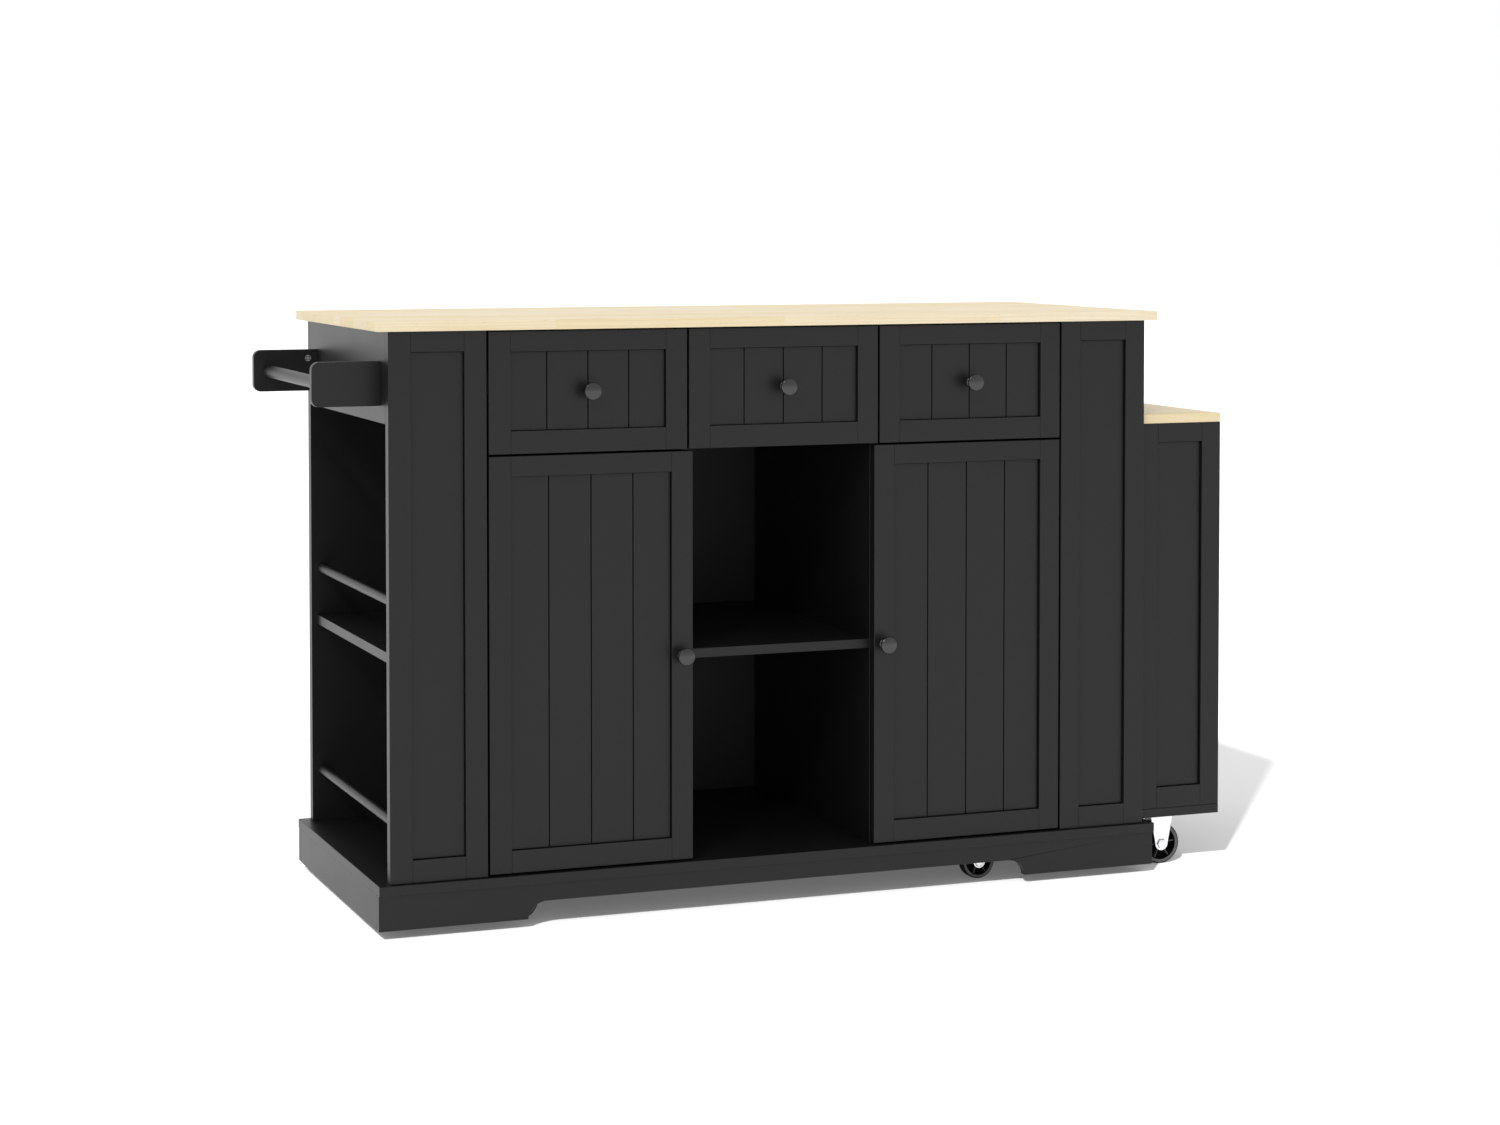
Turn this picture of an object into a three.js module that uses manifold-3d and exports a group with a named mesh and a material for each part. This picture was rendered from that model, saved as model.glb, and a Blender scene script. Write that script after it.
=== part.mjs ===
// A kitchen island on casters. It has a fixed worktop, three drawers, two doors with an open cubby between
// them, an open rack and a towel rail on its left end, a table that pulls out to the right on its own leg,
// and a drop leaf behind. Millimetres, +X to the right, +Y to the back, +Z up.
import * as THREE from "three";
import { mergeVertices } from "three/addons/utils/BufferGeometryUtils.js";
import Module from "manifold-3d";

const wasm = await Module();
wasm.setup();

// ------------------------------------------------------------------ driving dimensions
// Cabinet frame: X = 0 is the cabinet's left side, Y = 0 the face of its doors and drawers, Z = 0 the floor.
const HEIGHT = 925;
const CABINET_WIDTH = 1266;
const CABINET_DEPTH = 527;
const BOARD = 15; // carcass boards, worktop, tabletop, leaf
const FRONT = 18; // frame-and-panel fronts and the rack's back board
const GAP = 3; // between neighbouring fronts

// Base
const BASE_TOP = 84;
const BASE_OVERHANG = { left: 18.5, right: 18.5, front: 7, back: 8 };
const PLINTH_INSET = { side: 0.5, front: 6, back: 1.5 }; // from the edges of the base board
const FLOOR_GAP = 15;
const ARCH = { from: 214.5, to: 1051.5, rise: 26, radius: 31 };

// Worktop
const WORKTOP_OVERHANG = { side: 19.5, front: 8, back: 1 };

// Front: an end panel, three equal cells, an end panel
const END_WIDTH = 153;
const CELL = 320;
const STILE = 34.5; // width of every stile and rail
const RECESS = 6; // depth of the panel's face below its frame
const BACK_RECESS = 5;
const GROOVE = { depth: 1.2, drawerPitch: 65.5, doorPitch: 67.5 };
const SEAM = 0.6; // fine line where a stile meets a rail
const DRAWER_FRONT = { bottom: 722.5, top: 908 };
const DOOR = { bottom: 86.5, top: 719.5 };

// Inside
const BACK_PANEL = 5;
const CARCASS_FRONT = 19; // front edge of the partitions and decks, 1 mm behind the fronts
const LOWER_DECK_TOP = 738.5;
const DRAWER_DECK_BOTTOM = 757;
const CUBBY_SHELF_TOP = 410.5;
const DRAWER_BOX = { depth: 450, bottom: 778, height: 115, wall: 12, floor: 6, slideRoom: 13 };

// Open rack on the left end
const RACK = {
  apronBottom: 771.5,
  shelfTop: 425,
  shelfInset: 9,
  railDiameter: 15,
  railX: 17,
  railHeights: [169, 502],
};

// Towel rail
const TOWEL = { reach: 104, bottom: 797, height: 67, thickness: 12, frontY: 49, backY: 459, corner: 12 };
const TOWEL_ROD = { x: -80, z: 830, diameter: 19.5 };

// Knobs
const KNOB = { diameter: 27.5, reach: 24, foot: 16, neck: 10 };
const DRAWER_KNOB_Z = 816;
const DOOR_KNOB = { fromEdge: 17, z: 404 };

// Pull-out table
const TABLE_TOP = 754;
const TABLE_DEPTH = { front: 18.5, back: 508 }; // it slides just behind the drawer fronts
const TABLE_INNER_END = 170;
const TABLE_CLEARANCE = 0.5; // behind the tabletop in its slot, and between the leg's panels
const LEG = { left: 1268, right: 1419, bottom: 86.5 };

// Casters
const SWIVEL = {
  height: 69,
  wheelRadius: 28,
  trail: 22,
  plate: 2.5,
  plateSize: [58, 48],
  crownHalf: 18,
  tip: 10,
  inset: 74, // from the cabinet's front or back to the mounting axis
  fromEnd: 244,
};
const FIXED = {
  height: LEG.bottom,
  wheelRadius: 34,
  trail: 0,
  plate: 2.5,
  plateSize: [60, 46],
  crownHalf: 21.5,
  tip: 11.5,
  inset: 47.5,
  x: 1332,
};
const BEARING = { clear: 0.5, height: 6, radius: 21, foot: 17, flare: 3, rim: 19, rimDepth: 1, lap: 1 };
const WHEEL = { width: 18, shoulder: 3, lip: 1, tyre: 4, rimDepth: 4, hubRadius: 9, boreRadius: 3.3 };
const SPOKE = { count: 6, thickness: 4, inset: 3, lap: 1.5 };
const YOKE = { cheek: 2, web: 2.5, skirt: 12, backFlare: 2, sideGap: 1.5, axleRadius: 3 };
const BOLT = { radius: 5, head: 2.5 };

// Drop leaf: hangs from a hinge line just behind and below the worktop's back edge
const LEAF = { length: 1226, depth: 248, hingeY: 531, hingeZ: 906, clear: 4, above: 2 };
const STAY = { pivot: 100, length: 140, rod: 5, eye: 7.5, hole: 3.6, thickness: 3, fromEnd: 180 };
const LUG = { thickness: 2, height: 12, pin: 3, margin: 1, gap: 0.5 };

// How far a cutter passes the face that it opens, and a body passes the face that it is joined at
const LAP = 1;

// ------------------------------------------------------------------ dimensions that follow
const WORKTOP_UNDERSIDE = HEIGHT - BOARD;
const BASE_UNDERSIDE = BASE_TOP - BOARD;
const BACK_INNER = CABINET_DEPTH - 1 - BACK_PANEL;
const RACK_BACK = CABINET_DEPTH - FRONT;
const RIGHT_WALL = CABINET_WIDTH - BOARD;
const CELL_LINES = [0, 1, 2, 3].map((n) => END_WIDTH + n * CELL);
const DRAWER_DECK_TOP = DRAWER_DECK_BOTTOM + BOARD;
const LOWER_DECK_BOTTOM = LOWER_DECK_TOP - BOARD;
const TABLE_UNDERSIDE = TABLE_TOP - BOARD;
const LEG_BASE_TOP = LEG.bottom + BOARD;
// The whole object, from the towel rail's ends to the leg, and from the knobs to the leaf
const BOUNDS = {
  x: [-TOWEL.reach, LEG.right],
  y: [-KNOB.reach, LEAF.hingeY + LEAF.clear + BOARD],
};

// ------------------------------------------------------------------ finishes
const finish = (color, roughness, metalness = 0) =>
  new THREE.MeshStandardMaterial({ color, roughness, metalness, flatShading: true });
const blackPaint = finish(0x343434, 0.55);
const blackInside = finish(0x262626, 0.7);
const paleWood = finish(0xf0dfc0, 0.5);
const blackMetal = finish(0x202020, 0.4, 0.3);
const zinc = finish(0xd8dadc, 0.3, 1);
const blackRubber = finish(0x1b1b1b, 0.8);

// ------------------------------------------------------------------ shaping tools
const mid = ([from, to]) => (from + to) / 2;

// A closed geometry as a solid that can be cut and joined.
function solidOf(geometry) {
  const bare = geometry.clone();
  bare.deleteAttribute("normal");
  bare.deleteAttribute("uv");
  const merged = mergeVertices(bare, 1e-4);
  return new wasm.Manifold(
    new wasm.Mesh({
      numProp: 3,
      vertProperties: merged.attributes.position.array,
      triVerts: new Uint32Array(merged.index.array),
    }),
  );
}

function geometryOf(solid) {
  const { vertProperties, triVerts } = solid.getMesh();
  return new THREE.BufferGeometry()
    .setAttribute("position", new THREE.BufferAttribute(vertProperties, 3))
    .setIndex(new THREE.BufferAttribute(triVerts, 1));
}

// A box between three pairs of limits.
function block(x, y, z) {
  return new THREE.BoxGeometry(x[1] - x[0], y[1] - y[0], z[1] - z[0]).translate(mid(x), mid(y), mid(z));
}

const solidBlock = (x, y, z) => solidOf(block(x, y, z));

// A round bar of one radius along X, Y or Z, centred on a point.
function bar(axis, radius, length, [x, y, z], sides = 16) {
  const geometry = new THREE.CylinderGeometry(radius, radius, length, sides);
  if (axis === "x") geometry.rotateZ(Math.PI / 2);
  if (axis === "z") geometry.rotateX(Math.PI / 2);
  return geometry.translate(x, y, z);
}

// An outline drawn on X and Z, given a thickness along +Y from the plane y = start.
function plateXZ(outline, thickness, start = 0) {
  return new THREE.ExtrudeGeometry(outline, { depth: thickness, bevelEnabled: false, curveSegments: 8 })
    .rotateX(Math.PI / 2)
    .translate(0, start + thickness, 0);
}

// The square cutter of a V-groove or a seam: it runs up from z = from to z = to, centred on the face at y.
function grooveCutter(x, y, depth, from, to) {
  return solidOf(bar("z", depth, to - from, [x, y, (from + to) / 2], 4));
}

function part(name, geometry, material) {
  const mesh = new THREE.Mesh(geometry, material);
  mesh.name = name;
  return mesh;
}

// A plain board, placed by its middle.
function board(name, x, y, z, material = blackPaint) {
  const mesh = part(name, new THREE.BoxGeometry(x[1] - x[0], y[1] - y[0], z[1] - z[0]), material);
  mesh.position.set(mid(x), mid(y), mid(z));
  return mesh;
}

function groupOf(...children) {
  const group = new THREE.Group();
  group.add(...children);
  return group;
}

// ------------------------------------------------------------------ frame-and-panel fronts
// It stands on X and Z with its face at y = 0. Stiles run its full height, and the rails fit between them.
function framedPanel(width, height, grooves = 0, pitch = 0) {
  const inner = { x: [STILE, width - STILE], z: [STILE, height - STILE] };
  let panel = solidBlock([0, width], [0, FRONT], [0, height])
    .subtract(solidBlock(inner.x, [-LAP, RECESS], inner.z))
    .subtract(solidBlock(inner.x, [FRONT - BACK_RECESS, FRONT + LAP], inner.z));
  for (let n = 0; n < grooves; n++) {
    const x = width / 2 + (n - (grooves - 1) / 2) * pitch;
    panel = panel.subtract(grooveCutter(x, RECESS, GROOVE.depth, ...inner.z));
  }
  for (const x of inner.x) {
    panel = panel
      .subtract(grooveCutter(x, 0, SEAM, -LAP, STILE))
      .subtract(grooveCutter(x, 0, SEAM, height - STILE, height + LAP));
  }
  return geometryOf(panel);
}

function framedFront(name, x, z, grooves, pitch) {
  const mesh = part(name, framedPanel(x[1] - x[0], z[1] - z[0], grooves, pitch), blackPaint);
  mesh.position.set(x[0], 0, z[0]);
  return mesh;
}

// A turned knob: a flared foot, a waist and a shallow domed head, pointing out of the front.
function knob(name, x, z) {
  const [foot, neck, head] = [KNOB.foot / 2, KNOB.neck / 2, KNOB.diameter / 2];
  const profile = new THREE.Path()
    .moveTo(0, 0)
    .lineTo(foot, 0)
    .quadraticCurveTo(neck, KNOB.reach * 0.15, neck, KNOB.reach * 0.45)
    .quadraticCurveTo(neck + 1, KNOB.reach * 0.62, head - 1, KNOB.reach * 0.66)
    .quadraticCurveTo(head + 1, KNOB.reach * 0.78, head - 2.5, KNOB.reach * 0.88)
    .quadraticCurveTo(head / 2, KNOB.reach, 0, KNOB.reach);
  const mesh = part(name, new THREE.LatheGeometry(profile.getPoints(4), 20).rotateX(Math.PI), blackMetal);
  mesh.position.set(x, 0, z);
  return mesh;
}

// ------------------------------------------------------------------ base
const BASE_X = [-BASE_OVERHANG.left, CABINET_WIDTH + BASE_OVERHANG.right];
const BASE_Y = [-BASE_OVERHANG.front, CABINET_DEPTH + BASE_OVERHANG.back];

const SWIVEL_SPOTS = {
  front_left: [SWIVEL.fromEnd, SWIVEL.inset],
  front_right: [CABINET_WIDTH - SWIVEL.fromEnd, SWIVEL.inset],
  back_left: [SWIVEL.fromEnd, CABINET_DEPTH - SWIVEL.inset],
  back_right: [CABINET_WIDTH - SWIVEL.fromEnd, CABINET_DEPTH - SWIVEL.inset],
};

// The bottom board, with the mounting plate of each swivel caster under it.
function basePlate() {
  let plate = solidBlock(BASE_X, BASE_Y, [BASE_UNDERSIDE, BASE_TOP]);
  for (const [x, y] of Object.values(SWIVEL_SPOTS)) {
    const [length, width] = SWIVEL.plateSize.map((size) => size / 2);
    plate = plate.add(
      solidBlock(
        [x - length, x + length],
        [y - width, y + width],
        [BASE_UNDERSIDE - SWIVEL.plate, BASE_UNDERSIDE + LAP],
      ),
    );
  }
  return part("base_plate", geometryOf(plate), blackPaint);
}

// A long plinth board: two feet, and an arch between them with a round corner at each end.
function archedPlinth(name, y) {
  const [left, right] = [BASE_X[0] + PLINTH_INSET.side, BASE_X[1] - PLINTH_INSET.side];
  const ceiling = FLOOR_GAP + ARCH.rise;
  const outline = new THREE.Shape()
    .moveTo(left, FLOOR_GAP)
    .lineTo(ARCH.from, FLOOR_GAP)
    .absellipse(ARCH.from + ARCH.radius, FLOOR_GAP, ARCH.radius, ARCH.rise, Math.PI, Math.PI / 2, true)
    .lineTo(ARCH.to - ARCH.radius, ceiling)
    .absellipse(ARCH.to - ARCH.radius, FLOOR_GAP, ARCH.radius, ARCH.rise, Math.PI / 2, 0, true)
    .lineTo(right, FLOOR_GAP)
    .lineTo(right, BASE_UNDERSIDE)
    .lineTo(left, BASE_UNDERSIDE);
  return part(name, plateXZ(outline, BOARD, y), blackPaint);
}

function base() {
  const front = BASE_Y[0] + PLINTH_INSET.front;
  const back = BASE_Y[1] - PLINTH_INSET.back - BOARD;
  const left = BASE_X[0] + PLINTH_INSET.side;
  const right = BASE_X[1] - PLINTH_INSET.side - BOARD;
  const sideY = [front + BOARD, back];
  const height = [FLOOR_GAP, BASE_UNDERSIDE];
  return groupOf(
    basePlate(),
    archedPlinth("plinth_front", front),
    archedPlinth("plinth_back", back),
    board("plinth_left", [left, left + BOARD], sideY, height),
    board("plinth_right", [right, right + BOARD], sideY, height),
  );
}

// ------------------------------------------------------------------ carcass
// The right side board, notched from its front edge so that the tabletop can slide through it.
function rightWall() {
  const slot = solidBlock(
    [RIGHT_WALL - LAP, CABINET_WIDTH + LAP],
    [FRONT - LAP, TABLE_DEPTH.back + TABLE_CLEARANCE],
    [LOWER_DECK_TOP, DRAWER_DECK_BOTTOM],
  );
  const wall = solidBlock([RIGHT_WALL, CABINET_WIDTH], [FRONT, CABINET_DEPTH], [BASE_TOP, WORKTOP_UNDERSIDE]);
  return part("right_wall", geometryOf(wall.subtract(slot)), blackPaint);
}

function carcass() {
  const full = [BASE_TOP, WORKTOP_UNDERSIDE];
  const lower = [BASE_TOP, LOWER_DECK_BOTTOM];
  const upper = [DRAWER_DECK_TOP, WORKTOP_UNDERSIDE];
  const depth = [CARCASS_FRONT, BACK_INNER];
  const between = [END_WIDTH, RIGHT_WALL];
  const shelf = [CUBBY_SHELF_TOP - BOARD, CUBBY_SHELF_TOP];
  const centred = (x) => [x - BOARD / 2, x + BOARD / 2];
  const [, first, second, last] = CELL_LINES;
  return groupOf(
    framedFront("end_panel_left", [0, END_WIDTH - GAP / 2], full),
    framedFront("end_panel_right", [last + GAP / 2, CABINET_WIDTH], full),
    board("rack_divider", [END_WIDTH - BOARD, END_WIDTH], [FRONT, RACK_BACK], full),
    board("rack_back_board", [0, END_WIDTH], [RACK_BACK, CABINET_DEPTH], full),
    board("back_panel", between, [BACK_INNER, BACK_INNER + BACK_PANEL], full, blackInside),
    rightWall(),
    board("partition_left", centred(first), depth, lower),
    board("partition_right", centred(second), depth, lower),
    board("cubby_shelf", [first + BOARD / 2, second - BOARD / 2], depth, shelf),
    board("lower_deck", between, depth, [LOWER_DECK_BOTTOM, LOWER_DECK_TOP], blackInside),
    board("drawer_deck", between, depth, [DRAWER_DECK_BOTTOM, DRAWER_DECK_TOP], blackInside),
    board("drawer_divider_left", centred(first), depth, upper, blackInside),
    board("drawer_divider_right", centred(second), depth, upper, blackInside),
    board("drawer_divider_end", [last, last + BOARD], depth, upper, blackInside),
  );
}

function worktop() {
  return board(
    "worktop",
    [-WORKTOP_OVERHANG.side, CABINET_WIDTH + WORKTOP_OVERHANG.side],
    [-WORKTOP_OVERHANG.front, CABINET_DEPTH + WORKTOP_OVERHANG.back],
    [WORKTOP_UNDERSIDE, HEIGHT],
    paleWood,
  );
}

// ------------------------------------------------------------------ left end: open rack and towel rail
function rack() {
  const depth = [FRONT, RACK_BACK];
  const rails = RACK.railHeights.map((z, n) => {
    const rail = bar("y", RACK.railDiameter / 2, depth[1] - depth[0], [0, 0, 0], 24);
    const mesh = part(`rack_rail_${["lower", "upper"][n]}`, rail, blackPaint);
    mesh.position.set(RACK.railX, mid(depth), z);
    return mesh;
  });
  return groupOf(
    board("rack_apron", [0, BOARD], depth, [RACK.apronBottom, WORKTOP_UNDERSIDE]),
    board("rack_shelf", [RACK.shelfInset, END_WIDTH - BOARD], depth, [RACK.shelfTop - BOARD, RACK.shelfTop]),
    ...rails,
  );
}

// A flat arm with two round corners at its free end.
function towelBracket(name, y) {
  const { reach, bottom, height, corner } = TOWEL;
  const top = bottom + height;
  const outline = new THREE.Shape()
    .moveTo(0, bottom)
    .lineTo(0, top)
    .lineTo(corner - reach, top)
    .absarc(corner - reach, top - corner, corner, Math.PI / 2, Math.PI, false)
    .lineTo(-reach, bottom + corner)
    .absarc(corner - reach, bottom + corner, corner, Math.PI, Math.PI * 1.5, false);
  const mesh = part(name, plateXZ(outline, TOWEL.thickness), blackPaint);
  mesh.position.y = y;
  return mesh;
}

function towelRail() {
  const span = [TOWEL.frontY + TOWEL.thickness, TOWEL.backY];
  const rod = part("towel_rod", bar("y", TOWEL_ROD.diameter / 2, span[1] - span[0], [0, 0, 0], 28), blackPaint);
  rod.position.set(TOWEL_ROD.x, mid(span), TOWEL_ROD.z);
  return groupOf(
    towelBracket("towel_bracket_front", TOWEL.frontY),
    towelBracket("towel_bracket_back", TOWEL.backY),
    rod,
  );
}

// ------------------------------------------------------------------ drawers and doors
function drawerBox(name, x) {
  const { depth, bottom, height, wall, floor } = DRAWER_BOX;
  const [y, z] = [[FRONT, FRONT + depth], [bottom, bottom + height]];
  const inside = solidBlock([x[0] + wall, x[1] - wall], [y[0] + wall, y[1] - wall], [z[0] + floor, z[1] + LAP]);
  return part(name, geometryOf(solidBlock(x, y, z).subtract(inside)), blackInside);
}

// One drawer: its front covers a cell, and its box runs on side slides between the cell's two walls.
function drawer(name, cell, walls) {
  const front = [cell[0] + GAP / 2, cell[1] - GAP / 2];
  const box = [walls[0] + DRAWER_BOX.slideRoom, walls[1] - DRAWER_BOX.slideRoom];
  return groupOf(
    framedFront(`${name}_front`, front, [DRAWER_FRONT.bottom, DRAWER_FRONT.top], 3, GROOVE.drawerPitch),
    drawerBox(`${name}_box`, box),
    knob(`${name}_knob`, mid(front), DRAWER_KNOB_Z),
  );
}

function drawers() {
  const [start, first, second, last] = CELL_LINES;
  const half = BOARD / 2;
  return groupOf(
    drawer("drawer_left", [start, first], [start, first - half]),
    drawer("drawer_middle", [first, second], [first + half, second - half]),
    drawer("drawer_right", [second, last], [second + half, last]),
  );
}

// A door reaches from its end panel to the far face of the partition that it closes against.
function doors() {
  const [start, first, second, last] = CELL_LINES;
  const height = [DOOR.bottom, DOOR.top];
  const left = [start + GAP / 2, first + BOARD / 2];
  const right = [second - BOARD / 2, last - GAP / 2];
  return groupOf(
    framedFront("door_left", left, height, 3, GROOVE.doorPitch),
    knob("door_left_knob", left[1] - DOOR_KNOB.fromEdge, DOOR_KNOB.z),
    framedFront("door_right", right, height, 3, GROOVE.doorPitch),
    knob("door_right_knob", right[0] + DOOR_KNOB.fromEdge, DOOR_KNOB.z),
  );
}

// ------------------------------------------------------------------ casters
// A wheel: a rim with its tyre, turned as a closed ring, a hub with a bore, and spokes between the two.
function wheel(name, radius, [x, y]) {
  const half = WHEEL.width / 2;
  const inner = radius - WHEEL.tyre - WHEEL.rimDepth;
  const rimProfile = new THREE.Path()
    .moveTo(inner, -half + WHEEL.lip)
    .lineTo(radius - WHEEL.shoulder, -half)
    .quadraticCurveTo(radius, -half, radius, -half + WHEEL.shoulder)
    .lineTo(radius, half - WHEEL.shoulder)
    .quadraticCurveTo(radius, half, radius - WHEEL.shoulder, half)
    .lineTo(inner, half - WHEEL.lip)
    .closePath();
  let solid = solidOf(new THREE.LatheGeometry(rimProfile.getPoints(2), 28)).add(
    solidOf(bar("y", WHEEL.hubRadius, WHEEL.width, [0, 0, 0], 20)),
  );
  const spokeLength = inner - WHEEL.hubRadius + 2 * SPOKE.lap;
  for (let n = 0; n < SPOKE.count; n++) {
    const spoke = new THREE.BoxGeometry(spokeLength, WHEEL.width - 2 * SPOKE.inset, SPOKE.thickness)
      .translate(WHEEL.hubRadius - SPOKE.lap + spokeLength / 2, 0, 0)
      .rotateY((n * 2 * Math.PI) / SPOKE.count);
    solid = solid.add(solidOf(spoke));
  }
  solid = solid.subtract(solidOf(bar("y", WHEEL.boreRadius, WHEEL.width + LAP, [0, 0, 0], 16)));
  const mesh = part(name, geometryOf(solid), blackRubber);
  mesh.position.set(x, y, radius);
  return mesh;
}

// A pressed yoke in its caster's own frame, with its mounting axis on z: two cheeks that taper down to the
// axle, the crown that joins them, and the axle bolt. The axle lies `trail` behind the mounting axis.
function yoke({ wheelRadius, trail, crownHalf, tip }, crownTop) {
  const inside = WHEEL.width / 2 + YOKE.sideGap;
  const outside = inside + YOKE.cheek;
  const cheek = new THREE.Shape()
    .moveTo(crownHalf, crownTop)
    .lineTo(-crownHalf, crownTop)
    .lineTo(-trail - tip, wheelRadius + YOKE.backFlare)
    .absarc(-trail, wheelRadius, tip, Math.PI, 2 * Math.PI, false)
    .lineTo(crownHalf, crownTop - YOKE.skirt);
  let solid = solidBlock([-crownHalf, crownHalf], [-outside, outside], [crownTop - YOKE.web, crownTop])
    .add(solidOf(plateXZ(cheek, YOKE.cheek, inside)))
    .add(solidOf(plateXZ(cheek, YOKE.cheek, -outside)))
    .add(solidOf(bar("y", YOKE.axleRadius, 2 * outside, [-trail, 0, wheelRadius], 16)));
  for (const side of [-1, 1]) {
    const y = side * (outside + BOLT.head / 2);
    solid = solid.add(solidOf(bar("y", BOLT.radius, BOLT.head + LAP / 2, [-trail, y, wheelRadius], 6)));
  }
  return solid;
}

// The bearing cup of a swivel caster, between its mounting plate and its yoke.
function bearing(bottom) {
  const top = bottom + BEARING.height;
  const cup = [
    [0, bottom - BEARING.lap],
    [BEARING.foot, bottom - BEARING.lap],
    [BEARING.radius, bottom - BEARING.lap + BEARING.flare],
    [BEARING.radius, top - BEARING.rimDepth],
    [BEARING.rim, top],
    [0, top],
  ];
  return new THREE.LatheGeometry(cup.map((point) => new THREE.Vector2(...point)), 24).rotateX(Math.PI / 2);
}

// A swivel caster: its yoke turns under the base on a round bearing cup. The wheel trails towards -X.
function swivelCaster(place, [x, y]) {
  const cupBottom = SWIVEL.height - SWIVEL.plate - BEARING.clear - BEARING.height;
  const solid = yoke(SWIVEL, cupBottom).add(solidOf(bearing(cupBottom)));
  const caster = groupOf(
    part(`caster_${place}_fork`, geometryOf(solid), zinc),
    wheel(`caster_${place}_wheel`, SWIVEL.wheelRadius, [-SWIVEL.trail, 0]),
  );
  caster.position.set(x, y, 0);
  return caster;
}

// A fixed caster under the pull-out table's leg, with its plate against the leg's bottom board.
function fixedCaster(place, y) {
  const top = FIXED.height;
  const [length, width] = FIXED.plateSize.map((size) => size / 2);
  const plate = solidBlock([-length, length], [-width, width], [top - FIXED.plate, top]);
  const caster = groupOf(
    part(`leg_${place}_fork`, geometryOf(yoke(FIXED, top - LAP).add(plate)), zinc),
    wheel(`leg_${place}_wheel`, FIXED.wheelRadius, [0, 0]),
  );
  caster.position.set(FIXED.x, y, 0);
  return caster;
}

function casters() {
  return groupOf(...Object.entries(SWIVEL_SPOTS).map(([place, spot]) => swivelCaster(place, spot)));
}

// ------------------------------------------------------------------ pull-out table
function legPanel(name, width) {
  return part(name, framedPanel(width, TABLE_UNDERSIDE - LEG_BASE_TOP), blackPaint);
}

function pullOutTable() {
  const { front, back } = TABLE_DEPTH;
  const frontPanel = legPanel("leg_front_panel", LEG.right - LEG.left);
  frontPanel.position.set(LEG.left, front, LEG_BASE_TOP);
  const backPanel = legPanel("leg_back_panel", LEG.right - LEG.left);
  backPanel.position.set(LEG.right, back, LEG_BASE_TOP);
  backPanel.rotation.z = Math.PI;
  const sidePanel = legPanel("leg_side_panel", back - front - 2 * (FRONT + TABLE_CLEARANCE));
  sidePanel.position.set(LEG.right, front + FRONT + TABLE_CLEARANCE, LEG_BASE_TOP);
  sidePanel.rotation.z = Math.PI / 2;
  return groupOf(
    board("tabletop", [TABLE_INNER_END, LEG.right], [front, back], [TABLE_UNDERSIDE, TABLE_TOP], paleWood),
    board("leg_base_board", [LEG.left, LEG.right], [front, back], [LEG.bottom, LEG_BASE_TOP]),
    frontPanel,
    backPanel,
    sidePanel,
    fixedCaster("front", front + FIXED.inset),
    fixedCaster("back", back - FIXED.inset),
  );
}

// ------------------------------------------------------------------ drop leaf
// Drawn hanging, with its hinge line on the group's X axis. A lug with a pin carries each stay.
function leafBoard(stayPlaces) {
  const thickness = [LEAF.clear, LEAF.clear + BOARD];
  let leaf = solidBlock([0, LEAF.length], thickness, [LEAF.above - LEAF.depth, LEAF.above]);
  for (const x of stayPlaces) {
    const lugStart = x + STAY.rod / 2 + LUG.gap;
    const lugX = [lugStart, lugStart + LUG.thickness];
    const lugZ = [-STAY.pivot - LUG.height / 2, -STAY.pivot + LUG.height / 2];
    const pinX = [x - STAY.thickness / 2 - LUG.gap, lugX[0] + LAP];
    leaf = leaf
      .add(solidBlock(lugX, [-LUG.pin / 2 - LUG.margin, LEAF.clear + LAP], lugZ))
      .add(solidOf(bar("x", LUG.pin / 2, pinX[1] - pinX[0], [mid(pinX), 0, -STAY.pivot], 12)));
  }
  return part("drop_leaf", geometryOf(leaf), paleWood);
}

// A round rod with an eye at each end; its upper eye is on the leaf's pin, its lower one runs on the wall.
function leafStay(name, x) {
  const eye = (z) => bar("x", STAY.eye / 2, STAY.thickness, [0, 0, z], 20);
  const hole = (z) => bar("x", STAY.hole / 2, STAY.thickness + LAP, [0, 0, z], 12);
  const [upper, lower] = [-STAY.pivot, -STAY.pivot - STAY.length];
  const solid = solidOf(bar("z", STAY.rod / 2, STAY.length - STAY.eye + LAP, [0, 0, mid([upper, lower])], 12))
    .add(solidOf(eye(upper)))
    .add(solidOf(eye(lower)))
    .subtract(solidOf(hole(upper)))
    .subtract(solidOf(hole(lower)));
  const mesh = part(name, geometryOf(solid), zinc);
  mesh.position.x = x;
  return mesh;
}

function dropLeaf() {
  const stayPlaces = [STAY.fromEnd, LEAF.length - STAY.fromEnd];
  const leaf = groupOf(
    leafBoard(stayPlaces),
    leafStay("leaf_stay_left", stayPlaces[0]),
    leafStay("leaf_stay_right", stayPlaces[1]),
  );
  leaf.position.set((CABINET_WIDTH - LEAF.length) / 2, LEAF.hingeY, LEAF.hingeZ);
  return leaf;
}

// ------------------------------------------------------------------ the whole island
const island = groupOf(
  base(),
  carcass(),
  worktop(),
  rack(),
  towelRail(),
  drawers(),
  doors(),
  casters(),
  pullOutTable(),
  dropLeaf(),
);
// The origin is the middle of the object's box, on the floor.
island.position.set(-mid(BOUNDS.x), -mid(BOUNDS.y), 0);

export default island;
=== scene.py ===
"""A black kitchen island on casters with a butcher-block worktop, as it stands in a bright studio.

The frame holds the island's boards, joints and sizes. This script gives every board its arris and finish,
makes the fronts, knobs, casters and hardware that need finer shapes, and lights it. Sizes are in metres.
"""

import logging
import math
from collections.abc import Callable, Iterable, Sequence
from dataclasses import dataclass, field
from enum import Enum

import bmesh
import bpy
from mathutils import Matrix, Vector


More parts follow.
